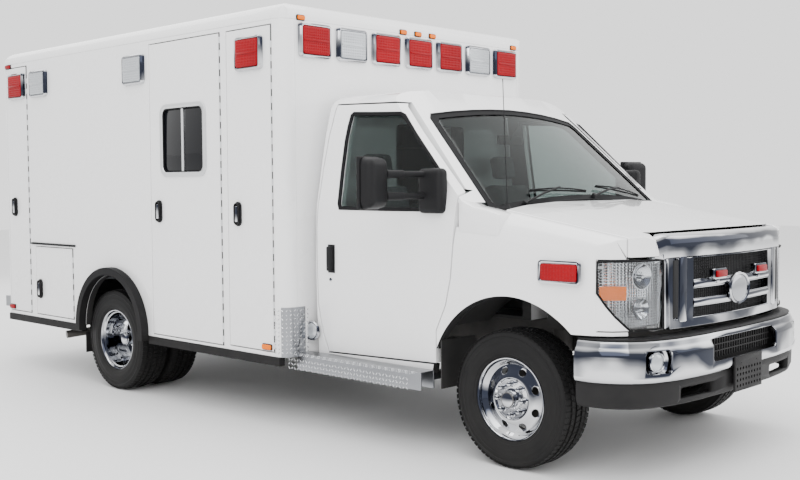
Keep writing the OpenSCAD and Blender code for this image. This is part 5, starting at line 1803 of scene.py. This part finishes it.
@dataclass
class FrontEnd:
    """Grille, headlamps and bumper.

    Attributes:
        curve: Radius of the grille's curve from above.
        nose: How far the grille's middle lies ahead of the front axle.
        foot: Height of the grille's lower edge.
        head: Height of its top edge.
        lamp_line: Outline of a headlamp's cover, as x, distance behind the front axle and z.
    """

    curve: float = 3.6
    nose: float = 0.785
    foot: float = 0.766
    head: float = 1.248
    lamp_line: tuple = (
        (0.655, -0.712, 1.119), (0.704, -0.702, 1.120), (0.834, -0.650, 1.120),
        (0.912, -0.586, 1.120), (0.951, -0.519, 1.117), (0.951, -0.519, 0.962),
        (0.929, -0.557, 0.900), (0.905, -0.590, 0.850), (0.863, -0.625, 0.800),
        (0.846, -0.641, 0.779), (0.770, -0.675, 0.777), (0.704, -0.702, 0.777),
        (0.655, -0.712, 0.777))

    def front(self, x: float, back: float = 0.0) -> float:
        """Returns the y of the grille's curved face at x, set back by a distance."""
        r = self.curve
        return along(-self.nose) + r - math.sqrt(r * r - x * x) + back

    def build(self) -> None:
        """Builds the grille, the headlamps and the bumper."""
        self.grille()
        self.headlamps()
        self.bumper()

    def grille(self) -> None:
        """Builds the chrome grille with its mesh, bars, blank disc and red lights."""
        finished(skin("grille", 0.005, 3), "grille_frame", CHROME, "grille")
        rest()
        bpy.ops.mesh.primitive_grid_add(x_subdivisions=64, y_subdivisions=26, size=1)
        mesh = bpy.context.object
        for v in mesh.data.vertices:
            x, z = v.co.x * 1.22, self.foot + 0.03 + (v.co.y + 0.5) * 0.37
            v.co = (x, self.front(x, 0.042), z)
        modify(mesh, "WIREFRAME", thickness=0.0042, use_boundary=True)
        finished(tidy_mesh(mesh, 1e-6), "grille_mesh", BLACK_PLASTIC)
        # A dark sheet behind the mesh: painted shadow for the hollow behind the grille.
        points = []
        columns = 13
        for i in range(columns):
            x = -0.62 + 1.24 * i / (columns - 1)
            points += [(x, self.front(x, 0.058), z) for z in (self.foot + 0.01, self.head - 0.09)]
        faces = [(2 * i, 2 * i + 2, 2 * i + 3, 2 * i + 1) for i in range(columns - 1)]
        panel = tidy_mesh(from_lists("panel", points, faces), 1e-6)
        modify(panel, "SOLIDIFY", thickness=0.002)
        finished(panel, "grille_shadow_panel", SEAM_SHADOW)
        beads = []
        for z in (0.890, 0.986):
            line = [(0.428 * (i / 12 - 1), self.front(0.428 * (i / 12 - 1), 0.008), z) for i in range(25)]
            bead = tube("bead", line, 0.020, False, 6)
            for v in bead.data.vertices:
                v.co.y = self.front(v.co.x, 0.006) + (v.co.y - self.front(v.co.x, 0.008)) * 0.55
            beads.append(bead)
        finished(beads, "grille_bars", CHROME)
        self.cap()
        posts, slots = [], []
        for side in (-1, 1):
            for x, width, low, high, proud, store in ((0.521, 0.058, 0.800, 1.132, 0.005, posts),
                                                      (0.576, 0.044, 0.822, 1.116, 0.002, slots)):
                seat = facing((side * x, self.front(x) - proud, (low + high) / 2),
                              (side * x / self.curve, -1, 0))
                store.append(moved(prism("strip", [(a, b, -0.03) for a, b in
                                                   rounded(width, high - low, 0.008)],
                                         (0, 0, 0.03), 0.003), seat))
        finished(posts, "grille_posts", CHROME)
        finished(slots, "grille_side_slots", BLACK_PLASTIC)
        disc_z = 0.938
        y = self.front(0) - 0.006
        disc = lathe("disc", [(0.0, 0.016), (0.045, 0.015), (0.064, 0.011), (0.072, 0.006),
                              (0.074, -0.004), (0.0, -0.006)], (0, y, disc_z), (0, -1, 0), 64)
        ring = lathe("ring", [(0.072, -0.002), (0.085, -0.002), (0.087, 0.008), (0.082, 0.015),
                              (0.073, 0.012), (0.072, -0.002)], (0, y, disc_z), (0, -1, 0), 64)
        for piece in (disc, ring):
            centre = Vector((0, y, disc_z))
            for v in piece.data.vertices:
                v.co.x = centre.x + (v.co.x - centre.x) * 1.32
        finished(disc, "grille_disc", DARK_CHROME)
        finished(ring, "grille_disc_ring", CHROME)
        lights, frames = [], []
        for side in (-1, 1):
            seat = facing((side * 0.235, self.front(0.235, -0.020), 1.030), (0, -1, 0))
            lens = slab("lens", (0.106, 0.036, 0.008), 0.008, 0.016, 0.004)
            body = slab("body", (0.136, 0.056, 0.010), -0.02, 0.032, 0.004)
            arm = block("arm", (-0.012, -0.05, -0.02), (0.012, -0.02, 0.0), 0.003, 2)
            lights.append(moved(lens, seat))
            frames += [moved(body, seat), moved(arm, seat)]
        finished(lights, "grille_lights", RED_LENS)
        finished(frames, "grille_light_brackets", CHROME)

    def cap(self) -> None:
        """Builds the chrome cap over the grille, up to the hood's edge."""
        section = ((0.000, 1.130), (-0.003, 1.150), (-0.004, 1.190), (0.0, 1.218), (0.010, 1.236),
                   (0.028, 1.245), (0.050, 1.2475), (0.092, 1.2475), (0.092, 1.235), (0.050, 1.130))
        rings = []
        columns = 29
        for i in range(columns):
            x = (i / (columns - 1) - 0.5) * 1.392
            drop = 0.030 * max(0.0, (abs(x) - 0.62) / 0.076) ** 2
            rings.append([(x, self.front(x, depth + drop), z - drop * 0.9) for depth, z in section])
        piece = loft("cap", rings, 40)
        cheeks = []
        for side in (-1, 1):
            y = self.front(0.64, 0.010)
            outline = [(side * x, y, z) for x, z in ((0.598, 0.770), (0.644, 0.770), (0.646, 1.100),
                                                     (0.672, 1.150), (0.610, 1.150))]
            cheeks.append(prism("cheek", outline, (0, 0.050, 0), 0.005))
        finished([piece] + cheeks, "grille_cap", CHROME)

    def headlamps(self) -> None:
        """Builds the headlamps: clear cover, faceted reflector, bulbs and amber signal."""
        cover = skin("headlamps", 0, flat=0)
        self.keep_faces(cover, lambda n, c: n.y < -0.25 or abs(n.x) > 0.3 and n.x * c.x > 0)
        inner = placed("inner", cover.data.copy())
        modify(cover, "SOLIDIFY", thickness=0.004, offset=-1)
        finished(smooth(cover, 40), "headlamp_covers", CLEAR_LENS, "headlamps")
        centre = {}
        for side in (-1, 1):
            near = [v.co for v in inner.data.vertices if v.co.x * side > 0]
            centre[side] = sum(near, Vector()) / len(near)
        for v in inner.data.vertices:
            middle = centre[1 if v.co.x > 0 else -1]
            v.co += (middle - v.co) * 0.05 + Vector((-math.copysign(0.034, v.co.x), 0.040, 0))
        modify(inner, "SOLIDIFY", thickness=0.003, offset=-1)
        finished(smooth(inner, 40), "headlamp_reflectors", REFLECTOR)
        self.lamp_corners()
        ambers, bowls, gaskets = [], [], []
        for side in (-1, 1):
            for x, y, z, r in ((0.760, -0.652, 1.040, 0.062), (0.765, -0.650, 0.880, 0.052)):
                place = (side * x, along(y), z)
                bowl = lathe("bowl", [(0.012, -0.030), (0.030, -0.026), (r * 0.8, -0.010), (r, 0.004),
                                      (r + 0.004, 0.004), (r + 0.003, -0.004), (0.014, -0.036),
                                      (0.012, -0.030)], place, (side * 0.25, -1, 0), 40)
                bulb = lathe("bulb", [(0.0, 0.012), (0.008, 0.010), (0.012, 0.002), (0.012, -0.03)],
                             place, (side * 0.25, -1, 0), 20)
                bowls += [bowl, bulb]
            line = ((0.846, -0.622), (0.900, -0.578), (0.938, -0.522), (0.850, -0.522))
            wedge = prism("amber", [(side * x, along(y), 0.925) for x, y in line],
                          (0, 0, 0.070), 0.004)
            ambers.append(wedge)
            gaskets.append(tube("gasket", [(side * x, along(y), z) for x, y, z in self.lamp_line],
                                0.0060, True, 2))
        finished(bowls, "headlamp_bowls", CHROME)
        finished(ambers, "turn_signals", AMBER_LENS)
        finished(gaskets, "headlamp_gaskets", RUBBER)

    def lamp_corners(self) -> None:
        """Builds the painted corners under the outer ends of the headlamps."""
        line = ((-0.655, 0.829, 0.777), (-0.640, 0.847, 0.779), (-0.624, 0.864, 0.799),
                (-0.604, 0.889, 0.828), (-0.584, 0.913, 0.857), (-0.555, 0.930, 0.899),
                (-0.532, 0.943, 0.932), (-0.514, 0.952, 0.958))
        pieces = []
        for side in (-1, 1):
            points = [(side * x, along(y), 0.776) for y, x, _ in line]
            points += [(side * x, along(y), top) for y, x, top in line]
            n = len(line)
            faces = [(i, i + 1, n + i + 1, n + i) for i in range(n - 1)]
            patch = tidy_mesh(from_lists("corner", points, faces), 1e-6)
            inward = Vector((-side * 0.6, 0.8, 0))
            if patch.data.polygons[3].normal.dot(inward) > 0:
                patch.data.flip_normals()
            modify(patch, "SOLIDIFY", thickness=0.012, offset=-1)
            pieces.append(smooth(patch, 40))
        finished(pieces, "headlamp_corners", CAB_PAINT)

    def keep_faces(self, piece: Piece, keep: Callable[[Vector, Vector], bool]) -> None:
        """Deletes the faces that a test of normal and middle doesn't keep."""
        select_faces(piece, lambda face: not keep(face.normal, face.center))
        bpy.ops.mesh.delete(type="FACE")
        bpy.ops.object.mode_set(mode="OBJECT")

    def bumper_line(self) -> Outline:
        """Returns the bumper's outer line seen from above, from left to right."""
        half = [(0.0, -0.849), (0.190, -0.846), (0.380, -0.841), (0.510, -0.830), (0.640, -0.812),
                (0.725, -0.790), (0.800, -0.763), (0.857, -0.730), (0.905, -0.690), (0.940, -0.650),
                (0.965, -0.610), (0.985, -0.566), (0.997, -0.525), (1.004, -0.475), (1.005, -0.420)]
        return [(-x, y) for x, y in reversed(half)] + half[1:]

    def sweep(self, name: str, section: Outline) -> Piece:
        """Carries a section along the bumper's line.

        Args:
            name: Name of the piece.
            section: Closed section, as distances inside the line and heights.

        Returns:
            The piece.
        """
        line = self.bumper_line()
        rings = []
        for i, (x, y) in enumerate(line):
            x0, y0 = line[max(0, i - 1)]
            x1, y1 = line[min(len(line) - 1, i + 1)]
            along_it = Vector((x1 - x0, y1 - y0)).normalized()
            inwards = Vector((-along_it.y, along_it.x))
            rings.append([(x + inwards.x * depth, along(y + inwards.y * depth), z)
                          for depth, z in section])
        return loft(name, rings, 32)

    def bumper(self) -> None:
        """Builds the chrome bumper with its pad, slot, fog lamps, skirt and plate holder."""
        face = [(0.020, 0.5195), (0.010, 0.524), (0.003, 0.534), (0.0, 0.550), (-0.001, 0.600),
                (-0.001, 0.652), (0.002, 0.672), (0.014, 0.690), (0.022, 0.700), (0.026, 0.716),
                (0.034, 0.726), (0.052, 0.7295), (0.056, 0.7295), (0.056, 0.716), (0.040, 0.700),
                (0.022, 0.672), (0.020, 0.55)]
        chrome = self.sweep("bumper", face)
        slot = prism("slot", [(x, along(-1.0), 0.643 + z) for x, z in rounded(0.730, 0.114, 0.024)],
                     (0, 0.4, 0))
        carve(chrome, slot)
        for side in (-1, 1):
            fog = prism("fog", [(side * 0.775 + x, along(-1.0), 0.624 + z) for x, z in
                                rounded(0.150, 0.112, 0.020)], (0, 0.4, 0))
            carve(chrome, fog)
        bevel(chrome, 0.0025, 2, 50, clamp=False)
        finished(smooth(chrome, 32), "bumper_face", CHROME, "front_bumper", slot="bumper_chrome")
        pad = self.sweep("pad", [(0.040, 0.7285), (0.034, 0.731), (0.036, 0.739), (0.046, 0.742),
                                 (0.120, 0.742), (0.128, 0.738), (0.128, 0.7285)])
        back = self.sweep("back", [(0.060, 0.525), (0.060, 0.728), (0.110, 0.728), (0.110, 0.525)])
        skirt = self.sweep("skirt", [(0.022, 0.521), (0.018, 0.500), (0.020, 0.430), (0.032, 0.400),
                                     (0.050, 0.391), (0.070, 0.395), (0.070, 0.521)])
        for x in (-0.47, 0.47):
            opening = prism("opening", [(x + a, along(-1.0), 0.452 + b) for a, b in
                                        rounded(0.30, 0.060, 0.012)], (0, 0.4, 0))
            carve(skirt, opening)
        ribs = []
        for i in range(-12, 13):
            x = i * 0.028
            ribs.append(block("rib", (x - 0.003, along(-0.800), 0.592),
                              (x + 0.003, along(-0.792), 0.694), 0))
        for z in (0.626, 0.660):
            ribs.append(block("rib", (-0.36, along(-0.802), z - 0.003),
                              (0.36, along(-0.794), z + 0.003), 0))
        finished([pad, back, skirt] + ribs, "bumper_pad_and_skirt", BLACK_PLASTIC)
        self.fog_lamps()
        self.plate_holder()

    def fog_lamps(self) -> None:
        """Builds the two round fog lamps in their dark recesses."""
        place, out = (0.775, along(-0.752), 0.624), (0.28, -1, 0)
        cups = lathe_pair("cup", [(0.0, -0.03), (0.050, -0.03), (0.078, -0.004), (0.082, -0.004),
                                  (0.054, -0.036), (0.0, -0.036)], place, out, 40)
        lenses = lathe_pair("lens", [(0.0, 0.012), (0.020, 0.0105), (0.036, 0.006), (0.043, 0.0),
                                     (0.043, -0.012), (0.0, -0.012)], place, out, 40)
        rings = lathe_pair("ring", [(0.043, -0.01), (0.050, -0.01), (0.050, 0.004), (0.046, 0.008),
                                    (0.043, 0.004), (0.043, -0.01)], place, out, 40)
        finished(cups, "fog_lamp_cups", CHROME)
        finished(lenses, "fog_lamp_lenses", WHITE_LENS)
        finished(rings, "fog_lamp_rings", CHROME)

    def plate_holder(self) -> None:
        """Builds the perforated holder for the number plate, without a plate."""
        y = along(-0.857)
        plate = block("holder", (-0.158, y, 0.398), (0.158, y + 0.012, 0.585), 0.004, 2)
        cutters = []
        for i in range(9):
            for k in range(4):
                x, z = (i - 4) * 0.033, 0.428 + k * 0.030
                cutters.append(rod("hole", (x, y - 0.01, z), (x, y + 0.03, z), 0.0085, 12))
        for x in (-0.089, 0.089):
            cutters.append(rod("hole", (x, y - 0.01, 0.548), (x, y + 0.03, 0.548), 0.0036, 12))
        carve(plate, join("holes", cutters))
        lugs = [block("lug", (x - 0.02, y + 0.010, 0.44), (x + 0.02, y + 0.030, 0.56), 0.002, 2)
                for x in (-0.11, 0.11)]
        finished([smooth(plate)] + lugs, "plate_holder", BLACK_PLASTIC)


# ---- interior


@dataclass
class Cushion:
    """One padded piece made by a cloth simulation.

    Attributes:
        low: Its lowest corner.
        high: Its highest corner.
        lean: How far it leans back, in degrees, about its lower front edge.
        cap: How far a point may swell.
    """

    low: Vector
    high: Vector
    lean: float = 0.0
    cap: float = 0.024

    def build(self, name: str) -> Piece:
        """Returns the swollen cushion, without its seams."""
        inset = Vector((0.016, 0.016, 0.014))
        piece = block(name, self.low + inset, self.high - inset, 0.030, 4)
        self.swell(piece)
        if self.lean:
            pivot = Vector((0, self.low.y, self.low.z))
            piece.data.transform(Matrix.Translation(pivot) @ Matrix.Rotation(
                math.radians(-self.lean), 4, "X") @ Matrix.Translation(-pivot))
        return smooth(piece, 70)

    def swell(self, piece: Piece) -> None:
        """Swells a piece with the cloth simulation and applies the result."""
        modify(piece, "REMESH", mode="VOXEL", voxel_size=0.011)
        pick(piece)
        start = [v.co.copy() for v in piece.data.vertices]
        cloth = piece.modifiers.new("cloth", "CLOTH")
        cloth.settings.use_pressure = True
        cloth.settings.uniform_pressure_force = 4
        cloth.settings.effector_weights.gravity = 0
        cloth.settings.quality = 4
        cloth.point_cache.frame_start = 1
        cloth.point_cache.frame_end = 16
        scene = bpy.context.scene
        for number in range(1, 17):
            scene.frame_set(number)
        bpy.ops.object.modifier_apply(modifier="cloth")
        scene.frame_set(1)
        for vertex, before in zip(piece.data.vertices, start):
            move = vertex.co - before
            if move.length > self.cap:
                vertex.co = before + move.normalized() * self.cap
        modify(piece, "SMOOTH", factor=0.5, iterations=3)


@dataclass
class Interior:
    """Seats, bench, dashboard and steering wheel.

    Attributes:
        seat_x: How far a seat's middle is from the middle line.
    """

    seat_x: float = 0.630

    def build(self) -> None:
        """Builds the interior pieces."""
        finished(skin("dashboard", 0.010, 3), "dashboard_moulding", CAB_TRIM, "dashboard")
        finished(skin("steering_wheel", 0.002), "steering_wheel_rim", BLACK_PLASTIC,
                 "steering_wheel", body="steering_wheel", slot="cab_trim")
        self.seats()
        self.bench()

    def seats(self) -> None:
        """Builds the two seats, each with a cushion, a back, a base and a head rest."""
        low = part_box("cab_seats")[0]
        cushion = Cushion(Vector((-0.23, along(0.64), low.z + 0.10)),
                          Vector((0.23, along(1.15), low.z + 0.24)))
        back = Cushion(Vector((-0.23, along(1.10), 0.93)), Vector((0.23, along(1.23), 1.55)), 12)
        head = Cushion(Vector((-0.13, along(1.115), 1.55)), Vector((0.13, along(1.215), 1.74)))
        pads = [cushion.build("cushion"), back.build("back"), head.build("head")]
        lean = Matrix.Translation((0, along(1.10), 0.93)) @ Matrix.Rotation(math.radians(-12), 4, "X") \
            @ Matrix.Translation((0, -along(1.10), -0.93))
        moved(pads[2], lean)
        base = block("base", (-0.20, along(0.68), low.z), (0.20, along(1.12), low.z + 0.11), 0.01, 3)
        for side, word in SIDES:
            shift = Matrix.Translation((side * self.seat_x, 0, 0))
            names = ("cushion", "back", "head_rest")
            for pad, label in zip(pads, names):
                made = finished(copied(pad, shift), "seat_%s_%s" % (word, label), SEAT_CLOTH,
                                *(["cab_seats"] if label == "cushion" and side < 0 else []))
            finished(copied(base, shift), "seat_%s_base" % word, CAB_TRIM)
        for pad in pads + [base]:
            bpy.data.objects.remove(pad)

    def bench(self) -> None:
        """Builds the squad bench's long cushion."""
        low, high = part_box("bench_cushion")
        piece = Cushion(low, high, 0, 0.022).build("bench")
        made = finished(piece, "squad_bench_cushion", BENCH_VINYL, "bench_cushion")


# ---- setting


@dataclass
class Studio:
    """Floor, light and camera.

    Attributes:
        camera_at: Where the camera stands.
        yaw: Its direction from +y towards +x, in radians.
        pitch: Its rise, in radians.
        roll: Its roll, in radians.
        lens: Its focal length on a 36 mm sensor.
    """

    camera_at: tuple = (-5.3576, -5.7021, 1.5044)
    yaw: float = 0.8064
    pitch: float = -0.0526
    roll: float = -0.0065
    lens: float = 47.6

    def build(self) -> None:
        """Builds the floor, the lights and the camera."""
        rest()
        bpy.ops.mesh.primitive_plane_add(size=60)
        floor = bpy.context.object
        floor.name = "floor"
        floor.data.materials.append(Finish("floor_pale", "", (0.80, 0.80, 0.80), 0.6, 0.03,
                                           mottle=0.01).build())
        self.sky()
        self.lamp("key", (-7, -6, 7.5), 8, 700)
        self.lamp("fill", (6, -8, 6), 8, 320)
        self.lamp("top", (0, 0, 9), 9, 620)
        self.lamp("rear", (2, 9, 6), 8, 300)
        self.camera()

    def sky(self) -> None:
        """Sets an even pale surrounding light."""
        world = bpy.data.worlds.new("studio")
        world.use_nodes = True
        glow = world.node_tree.nodes["Background"]
        glow.inputs["Color"].default_value = (1, 1, 1, 1)
        glow.inputs["Strength"].default_value = 1.65
        bpy.context.scene.world = world

    def lamp(self, name: str, place: Point, size: float, power: float) -> None:
        """Adds one large soft light that faces the vehicle."""
        data = bpy.data.lights.new(name, "AREA")
        data.size = size
        data.energy = power
        lamp = placed(name, data)
        lamp.location = place
        aim = Vector((0, 0, 1.2)) - Vector(place)
        lamp.rotation_euler = aim.to_track_quat("-Z", "Y").to_euler()

    def camera(self) -> None:
        """Adds the camera."""
        ahead = Vector((math.sin(self.yaw) * math.cos(self.pitch),
                        math.cos(self.yaw) * math.cos(self.pitch), math.sin(self.pitch)))
        right = Vector((math.cos(self.yaw), -math.sin(self.yaw), 0))
        up = right.cross(ahead)
        turned_right = right * math.cos(self.roll) + up * math.sin(self.roll)
        turned_up = up * math.cos(self.roll) - right * math.sin(self.roll)
        turn = Matrix((turned_right, turned_up, -ahead)).transposed().to_4x4()
        data = bpy.data.cameras.new("camera")
        data.lens = self.lens
        data.sensor_width = 36
        camera = placed("camera", data)
        camera.matrix_world = Matrix.Translation(self.camera_at) @ turn
        bpy.context.scene.camera = camera


def running_gear() -> None:
    """Dresses the chassis parts that keep their CAD shape."""
    dress("chassis_frame", CHASSIS)
    dress("drivetrain", IRON)
    dress("exhaust", EXHAUST_STEEL)
    dress("fuel_tank", CHASSIS)


def main() -> None:
    """Builds the whole vehicle in order."""
    logging.basicConfig(level=logging.INFO)
    Studio().build()
    running_gear()
    Wheels().build()
    PatientBox().build()
    Cab().build()
    FrontEnd().build()
    Lamps().build()
    Interior().build()


if __name__ == "__main__":
    main()
